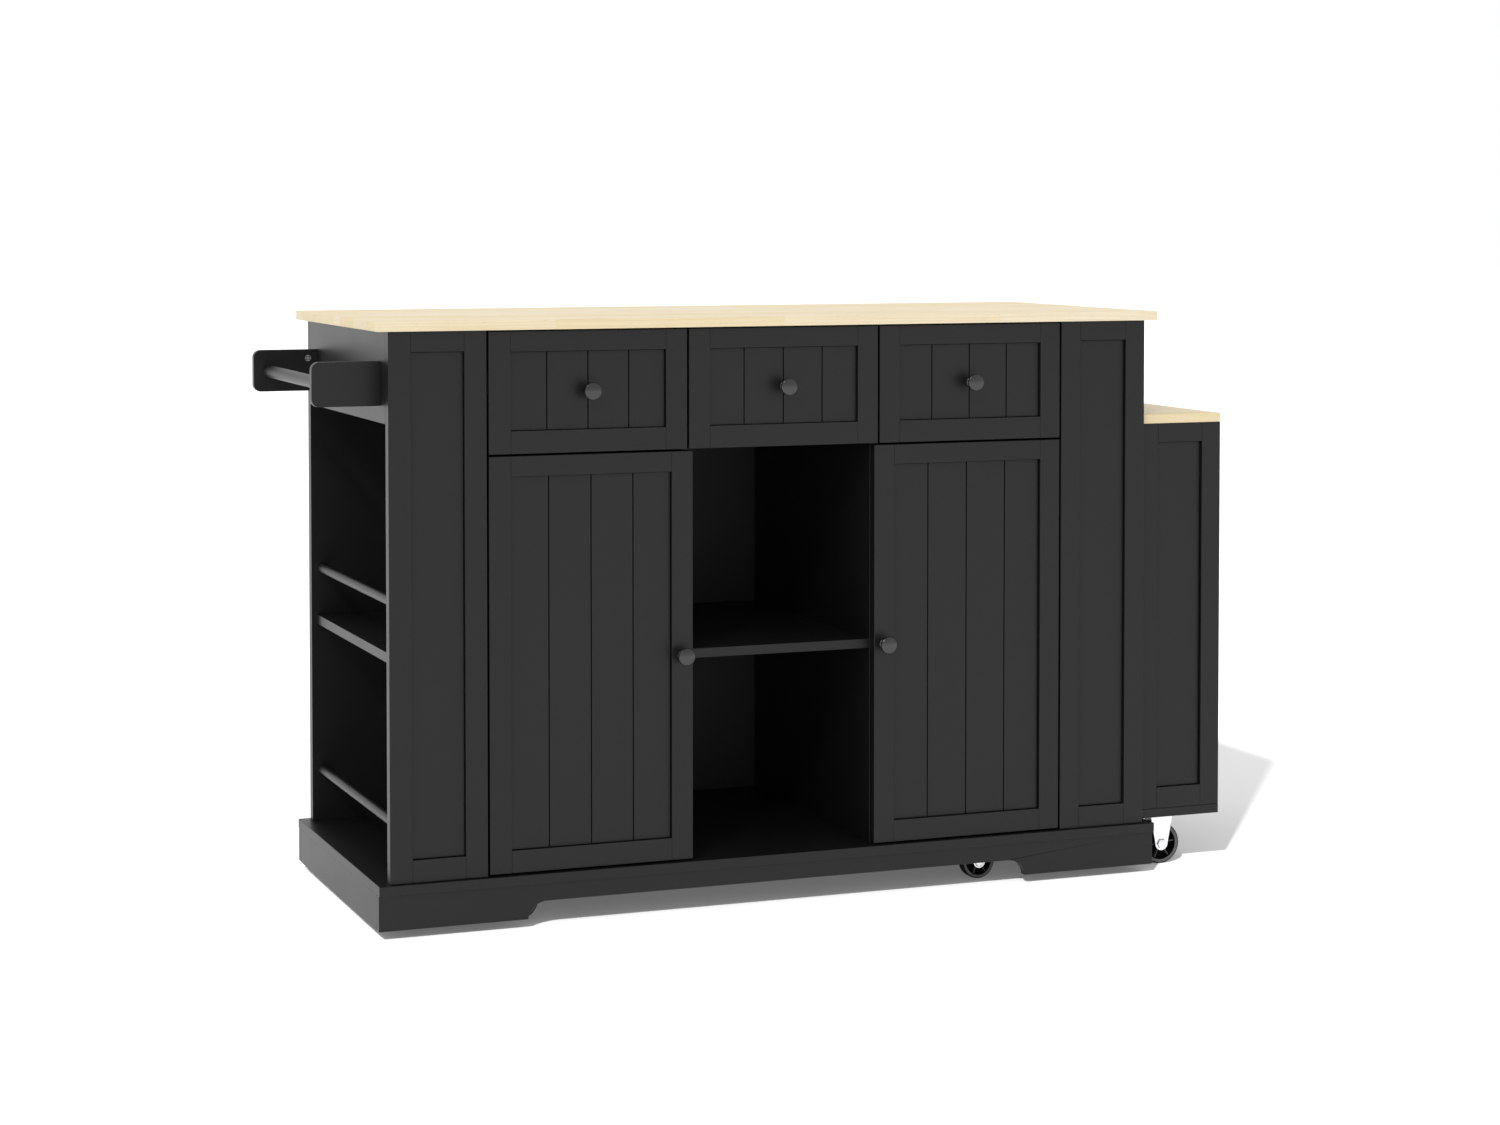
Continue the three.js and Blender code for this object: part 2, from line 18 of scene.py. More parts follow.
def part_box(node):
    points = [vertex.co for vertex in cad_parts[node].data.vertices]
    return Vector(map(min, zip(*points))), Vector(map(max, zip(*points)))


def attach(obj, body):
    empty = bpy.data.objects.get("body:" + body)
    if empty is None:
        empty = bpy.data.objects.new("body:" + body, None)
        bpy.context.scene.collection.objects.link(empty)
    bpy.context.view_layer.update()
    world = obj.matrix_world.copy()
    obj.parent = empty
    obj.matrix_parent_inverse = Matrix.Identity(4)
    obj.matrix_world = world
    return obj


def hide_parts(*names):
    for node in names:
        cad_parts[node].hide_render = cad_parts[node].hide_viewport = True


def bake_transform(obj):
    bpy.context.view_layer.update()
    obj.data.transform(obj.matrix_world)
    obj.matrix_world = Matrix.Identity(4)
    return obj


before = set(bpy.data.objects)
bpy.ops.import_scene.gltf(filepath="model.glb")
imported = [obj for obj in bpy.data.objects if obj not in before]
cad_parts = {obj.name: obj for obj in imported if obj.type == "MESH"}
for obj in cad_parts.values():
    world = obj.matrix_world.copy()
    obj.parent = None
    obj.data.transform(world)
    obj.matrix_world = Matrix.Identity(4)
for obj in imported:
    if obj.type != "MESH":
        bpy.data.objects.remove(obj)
log = logging.getLogger("island")

MM = 0.001
Point = Sequence[float]
Colour = tuple[float, float, float]
WHITE: Colour = (1.0, 1.0, 1.0)


class Axis(Enum):
    """A direction of the frame: X to the right, Y to the back, Z up."""

    X = 0
    Y = 1
    Z = 2

    def turn(self) -> Matrix:
        """The rotation that lays a shape made along Z onto this axis.

        Returns:
            The rotation, as a matrix of 4 by 4.
        """
        if self is Axis.X:
            return Matrix.Rotation(math.radians(90), 4, "Y")
        if self is Axis.Y:
            return Matrix.Rotation(math.radians(-90), 4, "X")
        return Matrix.Identity(4)


class Slot(Enum):
    """The record's material slots."""

    PAINT = "black_paint"
    BOARD = "black_board"
    WOOD = "butcher_block"
    KNOB = "black_knob"
    STEEL = "zinc_steel"
    WHEEL = "black_wheel"


# -------- shader maths


class Signal:
    """A node's output. Arithmetic on it adds Math nodes to the recipe that it belongs to."""

    def __init__(self, recipe: "Recipe", socket: bpy.types.NodeSocket | None) -> None:
        """Wraps an output of one of the recipe's nodes, or none for a node that has no output."""
        self.recipe = recipe
        self.socket = socket

    def other(self, name: str) -> "Signal":
        """Another output of the same node."""
        return Signal(self.recipe, self.socket.node.outputs[name])

    def apply(self, operation: str, second: "Input" = 0.0) -> "Signal":
        """A Math node's operation on this signal and a second value."""
        return self.recipe.math(operation, self, second)

    def swing(self, reach: float) -> "Signal":
        """A signal that runs from 0 to 1, as a swing about zero of the given reach."""
        return (self - 0.5) * reach

    def __add__(self, other: "Input") -> "Signal":
        """Sum."""
        return self.apply("ADD", other)

    def __radd__(self, other: "Input") -> "Signal":
        """Sum, with the plain number first."""
        return self.recipe.math("ADD", other, self)

    def __sub__(self, other: "Input") -> "Signal":
        """Difference."""
        return self.apply("SUBTRACT", other)

    def __rsub__(self, other: "Input") -> "Signal":
        """Difference, with the plain number first."""
        return self.recipe.math("SUBTRACT", other, self)

    def __mul__(self, other: "Input") -> "Signal":
        """Product."""
        return self.apply("MULTIPLY", other)

    def __rmul__(self, other: "Input") -> "Signal":
        """Product, with the plain number first."""
        return self.recipe.math("MULTIPLY", other, self)

    def __truediv__(self, other: "Input") -> "Signal":
        """Quotient."""
        return self.apply("DIVIDE", other)

    def __gt__(self, other: "Input") -> "Signal":
        """1 where this signal is the greater, and 0 elsewhere."""
        return self.apply("GREATER_THAN", other)


Input = Signal | float | tuple


class Recipe:
    """A node tree while it is being written."""

    def __init__(self, tree: bpy.types.NodeTree) -> None:
        """Empties the node tree of a material or of the world, and starts on it."""
        self.tree = tree
        self.tree.nodes.clear()

    def node(
        self,
        kind: str,
        settings: dict[str, object] | None = None,
        sockets: dict[str | int, Input] | None = None,
        output: str | int = 0,
    ) -> Signal:
        """Adds a node of any type.

        Args:
            kind: the node's type.
            settings: its own settings, which are set first. A ramp's stops are pairs of position and grey.
            sockets: values or signals for its inputs, by name or number.
            output: the output to hand back.

        Returns:
            The chosen output.
        """
        made = self.tree.nodes.new(kind)
        for name, value in (settings or {}).items():
            if name == "stops":
                self._set_stops(made.color_ramp, value)
            else:
                setattr(made, name, value)
        for name, value in (sockets or {}).items():
            target = made.inputs[name]
            if isinstance(value, Signal):
                self.tree.links.new(value.socket, target)
            elif target.type == "RGBA" and len(value) == 3:
                target.default_value = (*value, 1.0)
            else:
                target.default_value = value
        return Signal(self, made.outputs[output] if made.outputs else None)

    @staticmethod
    def _set_stops(ramp: bpy.types.ColorRamp, stops: Sequence[tuple[float, float]]) -> None:
        """Gives a ramp its grey stops.

        Args:
            ramp: the ramp, which starts with two stops.
            stops: pairs of position and grey value.
        """
        while len(ramp.elements) < len(stops):
            ramp.elements.new(1.0)
        for element, (position, grey) in zip(ramp.elements, stops):
            element.position = position
            element.color = (grey, grey, grey, 1.0)

    def math(self, operation: str, first: Input, second: Input = 0.0) -> Signal:
        """A Math node."""
        return self.node("ShaderNodeMath", {"operation": operation}, {0: first, 1: second})

    def place(self) -> Signal:
        """The point's place on the piece, in metres."""
        return self.node("ShaderNodeTexCoord", output="Object")

    def split(self, vector: Signal) -> tuple[Signal, Signal, Signal]:
        """A vector's three numbers."""
        x = self.node("ShaderNodeSeparateXYZ", sockets={0: vector}, output="X")
        return x, x.other("Y"), x.other("Z")

    def join(self, x: Input, y: Input, z: Input) -> Signal:
        """Three numbers as a vector."""
        return self.node("ShaderNodeCombineXYZ", sockets={0: x, 1: y, 2: z})

    def stretch(self, vector: Signal, by: Point) -> Signal:
        """A vector times a plain vector."""
        return self.node("ShaderNodeVectorMath", {"operation": "MULTIPLY"}, {0: vector, 1: by})

    def length(self, vector: Signal) -> Signal:
        """A vector's length."""
        return self.node("ShaderNodeVectorMath", {"operation": "LENGTH"}, {0: vector}, "Value")

    def noise(self, vector: Signal, scale: float = 1.0, detail: float = 2.0) -> Signal:
        """Soft noise from 0 to 1."""
        return self.node("ShaderNodeTexNoise", None, {"Vector": vector, "Scale": scale, "Detail": detail})

    def draw(self, seed: Signal) -> Signal:
        """A random number from 0 to 1 for each whole seed."""
        return self.node("ShaderNodeTexWhiteNoise", {"noise_dimensions": "1D"}, {"W": seed})

    def draw_three(self, seed: Signal) -> tuple[Signal, Signal, Signal]:
        """Three random numbers from 0 to 1 for each vector of whole seeds."""
        drawn = self.node("ShaderNodeTexWhiteNoise", {"noise_dimensions": "3D"}, {"Vector": seed}, "Color")
        return self.split(drawn)

    def rise(self, factor: Signal, start: float, end: float) -> Signal:
        """A straight rise from 0 at the start to 1 at the end."""
        return self.node("ShaderNodeValToRGB", {"stops": ((start, 0.0), (end, 1.0))}, {0: factor})

    def mix(self, factor: Input, first: Input, second: Input) -> Signal:
        """A mix of two colours."""
        return self.node("ShaderNodeMix", {"data_type": "RGBA"}, {0: factor, 6: first, 7: second}, 2)

    def bump(self, height: Signal, strength: float, distance: float) -> Signal:
        """A normal from a height, for relief of the given distance."""
        sockets = {"Height": height, "Strength": strength, "Distance": distance}
        return self.node("ShaderNodeBump", None, sockets)

    def surface(self, sockets: dict[str | int, Input]) -> Signal:
        """A Principled BSDF."""
        return self.node("ShaderNodeBsdfPrincipled", None, sockets)

    def ray(self, first: str, *others: str) -> Signal:
        """1 for a ray of one of the named kinds, and 0 for any other.

        Args:
            first: a kind of ray, such as Camera, Glossy or Transmission.
            others: more kinds.

        Returns:
            The test.
        """
        found = path = self.node("ShaderNodeLightPath", output=f"Is {first} Ray")
        for kind in others:
            found = found.apply("MAXIMUM", path.other(f"Is {kind} Ray"))
        return found


# -------- finishes


def shaded(colour: Colour, factor: float) -> Colour:
    """A colour made darker or paler."""
    return tuple(factor * part for part in colour)


@dataclass(frozen=True)
class Finish:
    """How a kind of surface looks. Each kind writes its own recipe. A pattern's scale is per metre."""

    name: str

    def write(self, recipe: Recipe) -> Signal:
        """Writes the nodes and hands back the surface."""
        raise NotImplementedError

    def material(self) -> bpy.types.Material:
        """The finish as a material, which is made once.

        Returns:
            The material of this finish's name.
        """
        known = bpy.data.materials.get(self.name)
        if known:
            return known
        made = bpy.data.materials.new(self.name)
        made.use_nodes = True
        recipe = Recipe(made.node_tree)
        recipe.node("ShaderNodeOutputMaterial", None, {"Surface": self.write(recipe)})
        return made


@dataclass(frozen=True)
class SatinPaint(Finish):
    """Sprayed satin lacquer on board: a fine orange peel, and gloss that varies a little in clouds."""

    colour: Colour = (0.0075, 0.0075, 0.0077)
    darkest: float = 0.82
    palest: float = 1.22
    roughness: float = 0.40
    specular: float = 0.29
    cloud_scale: float = 5.5
    cloud_gloss: float = 0.09
    peel_scale: float = 330.0
    grit_scale: float = 2100.0
    grit_gloss: float = 0.05
    grit_share: float = 0.25
    relief: float = 0.10
    relief_height: float = 0.4 * MM

    def write(self, recipe: Recipe) -> Signal:
        """Writes the paint.

        Args:
            recipe: the material's node tree.

        Returns:
            The surface.
        """
        place = recipe.place()
        cloud = recipe.noise(place, self.cloud_scale, 3.0)
        peel = recipe.noise(place, self.peel_scale)
        grit = recipe.noise(place, self.grit_scale, 1.0)
        height = peel * (1.0 - self.grit_share) + grit * self.grit_share
        deep, pale = shaded(self.colour, self.darkest), shaded(self.colour, self.palest)
        return recipe.surface(
            {
                "Base Color": recipe.mix(cloud, deep, pale),
                "Roughness": self.roughness + cloud.swing(self.cloud_gloss) + grit.swing(self.grit_gloss),
                "Normal": recipe.bump(height, self.relief, self.relief_height),
                "Specular IOR Level": self.specular,
            }
        )


@dataclass(frozen=True)
class Melamine(Finish):
    """Black melamine on chipboard, with a fine pressed grain that runs one way."""

    colour: Colour = (0.0085, 0.0085, 0.0087)
    palest: float = 1.35
    roughness: float = 0.50
    specular: float = 0.34
    grain: Point = (91.0, 572.0, 572.0)
    grain_share: float = 0.6
    grain_gloss: float = 0.14
    cloud_scale: float = 7.0
    relief: float = 0.16
    relief_height: float = 0.3 * MM

    def write(self, recipe: Recipe) -> Signal:
        """Writes the board.

        Args:
            recipe: the material's node tree.

        Returns:
            The surface.
        """
        place = recipe.place()
        grain = recipe.noise(recipe.stretch(place, self.grain), detail=3.0)
        cloud = recipe.noise(place, self.cloud_scale)
        shade = grain * self.grain_share + cloud * (1.0 - self.grain_share)
        return recipe.surface(
            {
                "Base Color": recipe.mix(shade, self.colour, shaded(self.colour, self.palest)),
                "Roughness": self.roughness + grain.swing(self.grain_gloss),
                "Normal": recipe.bump(grain, self.relief, self.relief_height),
                "Specular IOR Level": self.specular,
            }
        )


@dataclass(frozen=True)
class ButcherBlock(Finish):
    """Oiled pale hardwood staves along X, glued side by side and finger-jointed end to end.

    Each length of stave is cut at its own place from its own log. So its growth rings are circles about a
    pith line that lies outside it, and they are streaks on its faces. Across is the direction from stave to
    stave, and level the middle of the board's thickness.
    """

    across: Axis = Axis.Y
    level: float = 0.0

    # The staves
    stave_width: float = 43 * MM
    stave_length: float = 370 * MM
    finger_pitch: float = 6.6 * MM
    finger_length: float = 8 * MM
    stagger: float = 9.0
    row_seed: tuple[float, float] = (0.731, 4.2)
    stave_seed: float = 0.37
    seam: float = 0.006
    joint: float = 0.0008

    # The growth rings, and where the pith lies
    ring_width: float = 4.6 * MM
    ring_offset: float = 5.0
    ring_sharpness: float = 2.6
    pith_side: float = 150 * MM
    pith_depth: tuple[float, float] = (12 * MM, 90 * MM)
    wander: float = 24 * MM
    wander_grain: Point = (2.6, 9.0, 9.0)

    # The fibres and their open pores
    streak_grain: Point = (5.0, 240.0, 240.0)
    streaks_from: tuple[float, float] = (0.46, 0.74)
    pore_grain: Point = (85.0, 1150.0, 1150.0)
    pores_from: tuple[float, float] = (0.66, 0.76)

    # Colours, and how strongly each mark shows
    cream: Colour = (0.890, 0.806, 0.628)
    honey: Colour = (0.838, 0.704, 0.440)
    late_wood: Colour = (0.770, 0.585, 0.315)
    pore: Colour = (0.60, 0.43, 0.23)
    ring_tint: float = 0.44
    streak_tint: float = 0.42
    pore_tint: float = 0.35
    line_tint: float = 0.38

    # Gloss and relief
    roughness: float = 0.56
    specular: float = 0.34
    streak_gloss: float = 0.10
    ring_gloss: float = 0.06
    streak_height: float = 0.35
    cut_depth: float = 0.6
    relief: float = 0.22
    relief_height: float = 0.3 * MM

    def write(self, recipe: Recipe) -> Signal:
        """Writes the wood.

        Args:
            recipe: the material's node tree.

        Returns:
            The surface.
        """
        place = recipe.place()
        x, y, z = recipe.split(place)
        across, through = (y, z) if self.across is Axis.Y else (z, y)

        row = across / self.stave_width
        stave = row.apply("FLOOR")
        step, start = self.row_seed
        shift = recipe.draw(stave * step + start) * self.stagger
        fingers = ((through + across * 0.5) / self.finger_pitch).apply("PINGPONG", 0.5)
        run = (x + fingers * self.finger_length) / self.stave_length + shift
        tone, side, depth = recipe.draw_three(recipe.join(stave, run.apply("FLOOR"), self.stave_seed))
        seam = (row.apply("FRACT") - 0.5).apply("ABSOLUTE") > 0.5 - self.seam
        joint = (run.apply("FRACT") - 0.5).apply("ABSOLUTE") > 0.5 - self.joint
        lines = seam.apply("MAXIMUM", joint)

        wander = recipe.noise(recipe.stretch(place, self.wander_grain)).swing(self.wander)
        from_side = across - (stave + 0.5) * self.stave_width + side.swing(self.pith_side) + wander
        nearest, spread = self.pith_depth
        from_level = through - self.level + depth * spread + nearest
        radius = recipe.length(recipe.join(from_side, from_level, 0.0))
        rings = (radius / self.ring_width + tone * self.ring_offset).apply("FRACT")
        rings = rings.apply("POWER", self.ring_sharpness)

        streak = recipe.noise(recipe.stretch(place, self.streak_grain), detail=4.0)
        streaks = recipe.rise(streak, *self.streaks_from)
        specks = recipe.noise(recipe.stretch(place, self.pore_grain), detail=1.0)
        pores = recipe.rise(specks, *self.pores_from)

        colour = recipe.mix(tone, self.cream, self.honey)
        colour = recipe.mix(rings * self.ring_tint, colour, self.late_wood)
        colour = recipe.mix(streaks * self.streak_tint, colour, self.late_wood)
        colour = recipe.mix(pores * self.pore_tint, colour, self.pore)
        colour = recipe.mix(lines * self.line_tint, colour, self.pore)
        height = streak * self.streak_height - pores * self.cut_depth - lines * self.cut_depth
        return recipe.surface(
            {
                "Base Color": colour,
                "Roughness": self.roughness + streak * self.streak_gloss - rings * self.ring_gloss,
                "Normal": recipe.bump(height, self.relief, self.relief_height),
                "Specular IOR Level": self.specular,
            }
        )


@dataclass(frozen=True)
class PaintedMetal(Finish):
    """A cast knob under a dark, slightly metallic lacquer, which hands have polished here and there."""

    colour: Colour = (0.068, 0.068, 0.070)
    dullest: float = 0.8
    roughness: float = 0.22
    flake_scale: float = 3400.0
    polish_scale: float = 120.0
    polish_gloss: float = 0.16
    metal: tuple[float, float] = (0.82, 0.12)
    relief: float = 0.05
    relief_height: float = 0.2 * MM

    def write(self, recipe: Recipe) -> Signal:
        """Writes the lacquer.

        Args:
            recipe: the material's node tree.

        Returns:
            The surface.
        """
        place = recipe.place()
        flake = recipe.noise(place, self.flake_scale, 1.0)
        polish = recipe.noise(place, self.polish_scale, 3.0)
        least, more = self.metal
        return recipe.surface(
            {
                "Base Color": recipe.mix(flake, shaded(self.colour, self.dullest), self.colour),
                "Metallic": least + polish * more,
                "Roughness": self.roughness + polish.swing(self.polish_gloss),
                "Normal": recipe.bump(flake, self.relief, self.relief_height),
            }
        )


@dataclass(frozen=True)
class ZincPlate(Finish):
    """Bright zinc on pressed steel, faintly clouded, with the marks of the rolling mill under it."""

    colour: Colour = (0.86, 0.87, 0.88)
    dullest: float = 0.84
    roughness: float = 0.19
    cloud_scale: float = 75.0
    cloud_gloss: float = 0.20
    mill_grain: Point = (420.0, 3780.0, 420.0)
    mill_gloss: float = 0.06
    relief: float = 0.05
    relief_height: float = 0.2 * MM

    def write(self, recipe: Recipe) -> Signal:
        """Writes the plating.

        Args:
            recipe: the material's node tree.

        Returns:
            The surface.
        """
        place = recipe.place()
        cloud = recipe.noise(place, self.cloud_scale, 3.0)
        mill = recipe.noise(recipe.stretch(place, self.mill_grain))
        return recipe.surface(
            {
                "Base Color": recipe.mix(cloud, self.colour, shaded(self.colour, self.dullest)),
                "Metallic": 1.0,
                "Roughness": self.roughness + cloud * self.cloud_gloss + mill * self.mill_gloss,
                "Normal": recipe.bump(mill, self.relief, self.relief_height),
            }
        )


@dataclass(frozen=True)
class MouldedPlastic(Finish):
    """Moulded black plastic or rubber, with a fine spark-eroded texture, and dust where it is scuffed."""

    colour: Colour = (0.012, 0.012, 0.013)
    dust: float = 0.035
    roughness: float = 0.4
    specular: float = 0.4
    texture: float = 0.12
    texture_scale: float = 1700.0
    texture_gloss: float = 0.12
    texture_height: float = 0.3 * MM
    scuff: float = 0.0
    scuff_scale: float = 190.0
    scuffs_from: tuple[float, float] = (0.5, 0.72)
    scuff_gloss: float = 0.08

    def write(self, recipe: Recipe) -> Signal:
        """Writes the moulding.

        Args:
            recipe: the material's node tree.

        Returns:
            The surface.
        """
        place = recipe.place()
        texture = recipe.noise(place, self.texture_scale)
        worn = recipe.rise(recipe.noise(place, self.scuff_scale, 4.0), *self.scuffs_from)
        dusty = tuple(part + self.dust for part in self.colour)
        return recipe.surface(
            {
                "Base Color": recipe.mix(worn * self.scuff, self.colour, dusty),
                "Roughness": self.roughness + texture.swing(self.texture_gloss) + worn * self.scuff_gloss,
                "Normal": recipe.bump(texture, self.texture, self.texture_height),
                "Specular IOR Level": self.specular,
            }
        )


@dataclass(frozen=True)
class Palette:
    """The island's finishes."""

    paint: Finish = SatinPaint("satin_black_paint")
    board: Finish = Melamine("black_melamine")
    knob: Finish = PaintedMetal("lacquered_knob")
    zinc: Finish = ZincPlate("bright_zinc")
    # Black plastic made darker and duller than it is: painted shade of the wheel's recess and the bores.
    wheel: Finish = MouldedPlastic("wheel_centre", (0.003, 0.003, 0.003), roughness=0.5, specular=0.03)
    tyre: Finish = MouldedPlastic(
        "wheel_tread", (0.006, 0.006, 0.006), roughness=0.6, specular=0.10, texture=0.2, scuff=0.6
    )
    # Paler grey as painted highlight, for the light on the wheel's side walls and spoke edges.
    band: Finish = MouldedPlastic(
        "wheel_band", (0.115, 0.115, 0.117), roughness=0.5, specular=0.30, scuff=0.2
    )


# -------- shaping

SAME_PLACE = 0.001 * MM  # nearer vertices are merged
SHARP_FROM = math.radians(35)  # a sharper edge is rounded
ALONG_FROM = 0.999  # the cosine from which an edge runs along an axis
SMOOTH_BELOW = math.radians(50)  # a flatter edge shades smooth
FACE_WEIGHT = 60


def verts_of(geometry: Iterable[object]) -> list[bmesh.types.BMVert]:
    """The vertices among what an operator hands back."""
    return [item for item in geometry if isinstance(item, bmesh.types.BMVert)]


def middle_of(node: str) -> Vector:
    """The middle of a node's box."""
    low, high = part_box(node)
    return (low + high) / 2


def curve(start: Point, control: Point, end: Point, steps: int) -> list[Point]:
    """The points of a quadratic curve after its start.

    Args:
        start: where it starts.
        control: the point that it bends towards.
        end: where it ends.
        steps: the number of points.

    Returns:
        The points, the last of which is the end.
    """
    points = []
    for step in range(1, steps + 1):
        t = step / steps
        first, second, third = (1 - t) ** 2, 2 * t * (1 - t), t * t
        triples = zip(start, control, end)
        points.append(tuple(first * a + second * b + third * c for a, b, c in triples))
    return points


class Form:
    """A mesh while bmesh operators shape it. Most methods hand the form back, so that steps chain."""

    def __init__(self) -> None:
        """Starts empty."""
        self.bm = bmesh.new()

    @classmethod
    def block(cls, low: Point, high: Point, arris: float = 0.0, segments: int = 2) -> "Form":
        """A box between two corners.

        Args:
            low: its lowest corner.
            high: its highest corner.
            arris: how far its edges are rounded.
            segments: the steps of that rounding.

        Returns:
            The box.
        """
        form = cls()
        low, high = Vector(low), Vector(high)
        place = Matrix.LocRotScale((low + high) / 2, None, high - low)
        bmesh.ops.create_cube(form.bm, size=1.0, matrix=place)
        return form.rounded(arris, segments) if arris else form

    @classmethod
    def turned(cls, profile: Sequence[Point], axis: Axis, centre: Point, steps: int = 32) -> "Form":
        """A shape turned on a lathe.

        Args:
            profile: pairs of radius and distance along the axis, from end to end, or closed on itself.
            axis: the axis that it turns about.
            centre: the point from which the distances are measured.
            steps: the sides of the turning.

        Returns:
            The turned shape.
        """
        form = cls()
        verts = [form.bm.verts.new((radius, 0.0, along)) for radius, along in profile]
        edges = [form.bm.edges.new(pair) for pair in zip(verts, verts[1:])]
        geom = verts + edges
        bmesh.ops.spin(form.bm, geom=geom, axis=(0, 0, 1), angle=math.tau, steps=steps, use_merge=True)
        bmesh.ops.remove_doubles(form.bm, verts=form.bm.verts, dist=SAME_PLACE)
        bmesh.ops.recalc_face_normals(form.bm, faces=form.bm.faces)
        form.bm.transform(Matrix.Translation(centre) @ axis.turn())
        return form

    @classmethod
    def bar(
        cls, radius: float, axis: Axis, start: Point, length: float, chamfer: float = 0.0, steps: int = 32
    ) -> "Form":
        """A round bar with chamfered ends.

        Args:
            radius: its radius.
            axis: the direction that it runs in.
            start: the middle of its first end.
            length: its length.
            chamfer: the chamfer at both ends.
            steps: its sides.

        Returns:
            The bar.
        """
        if not chamfer:
            return cls.turned([(0, 0), (radius, 0), (radius, length), (0, length)], axis, start, steps)
        inner, shoulder = radius - chamfer, length - chamfer
        profile = [(0, 0), (inner, 0), (radius, chamfer), (radius, shoulder), (inner, length), (0, length)]
        return cls.turned(profile, axis, start, steps)

    @classmethod
    def ring(
        cls, inner: float, outer: float, axis: Axis, start: Point, width: float, steps: int = 32
    ) -> "Form":
        """A washer or a tube: a ring of square section along an axis."""
        profile = [(inner, 0), (outer, 0), (outer, width), (inner, width), (inner, 0)]
        return cls.turned(profile, axis, start, steps)

    @classmethod
    def plate(cls, outline: Sequence[Point], axis: Axis, start: float, thickness: float) -> "Form":
        """A flat outline with a thickness.

        Args:
            outline: its corners, as pairs on the two other axes in their order.
            axis: the direction of its thickness.
            start: where it starts on that axis.
            thickness: how thick it is.

        Returns:
            The plate.
        """
        form = cls()
        corners = []
        for pair in outline:
            place = list(pair)
            place.insert(axis.value, start)
            corners.append(form.bm.verts.new(place))
        face = form.bm.faces.new(corners)
        grown = bmesh.ops.extrude_face_region(form.bm, geom=[face])["geom"]
        step = Vector((0, 0, 0))
        step[axis.value] = thickness
        bmesh.ops.translate(form.bm, verts=verts_of(grown), vec=step)
        bmesh.ops.recalc_face_normals(form.bm, faces=form.bm.faces)
        return form

    @classmethod
    def strip(cls, path: Sequence[Point], height: float, gauge: float) -> "Form":
        """A strip of sheet metal on its edge, bent along a path.

        Args:
            path: the points that its lower edge follows.
            height: how far it rises from there.
            gauge: its thickness.

        Returns:
            The strip.
        """
        form = cls()
        lower = [form.bm.verts.new(point) for point in path]
        edges = [form.bm.edges.new(pair) for pair in zip(lower, lower[1:])]
        grown = bmesh.ops.extrude_edge_only(form.bm, edges=edges)["geom"]
        bmesh.ops.translate(form.bm, verts=verts_of(grown), vec=(0, 0, height))
        bmesh.ops.recalc_face_normals(form.bm, faces=form.bm.faces)
        bmesh.ops.solidify(form.bm, geom=form.bm.faces[:], thickness=gauge)
        bmesh.ops.recalc_face_normals(form.bm, faces=form.bm.faces)
        return form

    def rounded(
        self,
        width: float,
        segments: int = 2,
        along: Axis | None = None,
        where: Callable[[Vector], bool] | None = None,
    ) -> "Form":
        """Rounds or chamfers edges.

        Args:
            width: how far the rounding reaches from the edge.
            segments: its steps; one is a chamfer.
            along: the direction of the edges to round, or none for every sharp edge.
            where: a test on an edge's middle point that leaves the others sharp.

        Returns:
            The form.
        """
        chosen = []
        for edge in self.bm.edges:
            if len(edge.link_faces) != 2 or edge.calc_face_angle() < SHARP_FROM:
                continue
            first, second = (vert.co for vert in edge.verts)
            if along and abs((second - first).normalized()[along.value]) < ALONG_FROM:
                continue
            if where and not where((first + second) / 2):
                continue
            chosen.append(edge)
        bmesh.ops.bevel(
            self.bm,
            geom=chosen,
            offset=width,
            segments=segments,
            profile=0.5,
            affect="EDGES",
            material=-1,
            clamp_overlap=True,
        )
        return self

    def moved(self, by: Point) -> "Form":
        """Shifts the form."""
        bmesh.ops.translate(self.bm, verts=self.bm.verts, vec=by)
        return self

    def rotated(self, degrees: float, axis: Axis, about: Point) -> "Form":
        """Turns the form about an axis through a point.

        Args:
            degrees: how far it turns.
            axis: the direction of the axis.
            about: the point.

        Returns:
            The form.
        """
        matrix = Matrix.Rotation(math.radians(degrees), 3, axis.name)
        bmesh.ops.rotate(self.bm, verts=self.bm.verts, cent=about, matrix=matrix)
        return self

    def joined(self, *others: "Form") -> "Form":
        """Takes other forms in, each as a closed shape of its own.

        Args:
            others: the forms, which end here.

        Returns:
            The form.
        """
        for other in others:
            carrier = other.mesh("carrier")
            self.bm.from_mesh(carrier)
            bpy.data.meshes.remove(carrier)
        return self

    @classmethod
    def gathered(cls, forms: Iterable["Form"]) -> "Form":
        """Several forms as one."""
        return cls().joined(*forms)

    def mesh(self, name: str) -> bpy.types.Mesh:
        """Ends the shaping.

        Args:
            name: the mesh's name.

        Returns:
            The form as a mesh.
        """
        made = bpy.data.meshes.new(name)
        self.bm.to_mesh(made)
        self.bm.free()
        return made


def added(name: str, data: bpy.types.ID) -> bpy.types.Object:
    """Puts a mesh, a lamp or a camera into the scene.

    Args:
        name: the object's name.
        data: what it shows.

    Returns:
        The object.
    """
    thing = bpy.data.objects.new(name, data)
    bpy.context.scene.collection.objects.link(thing)
    return thing


def soften(thing: bpy.types.Object) -> None:
    """Keeps a piece's flat faces flat and its rounded edges round in the shading.

    Args:
        thing: the piece.
    """
    weighted = thing.modifiers.new("weighted_normals", "WEIGHTED_NORMAL")
    weighted.weight = FACE_WEIGHT
    weighted.keep_sharp = True


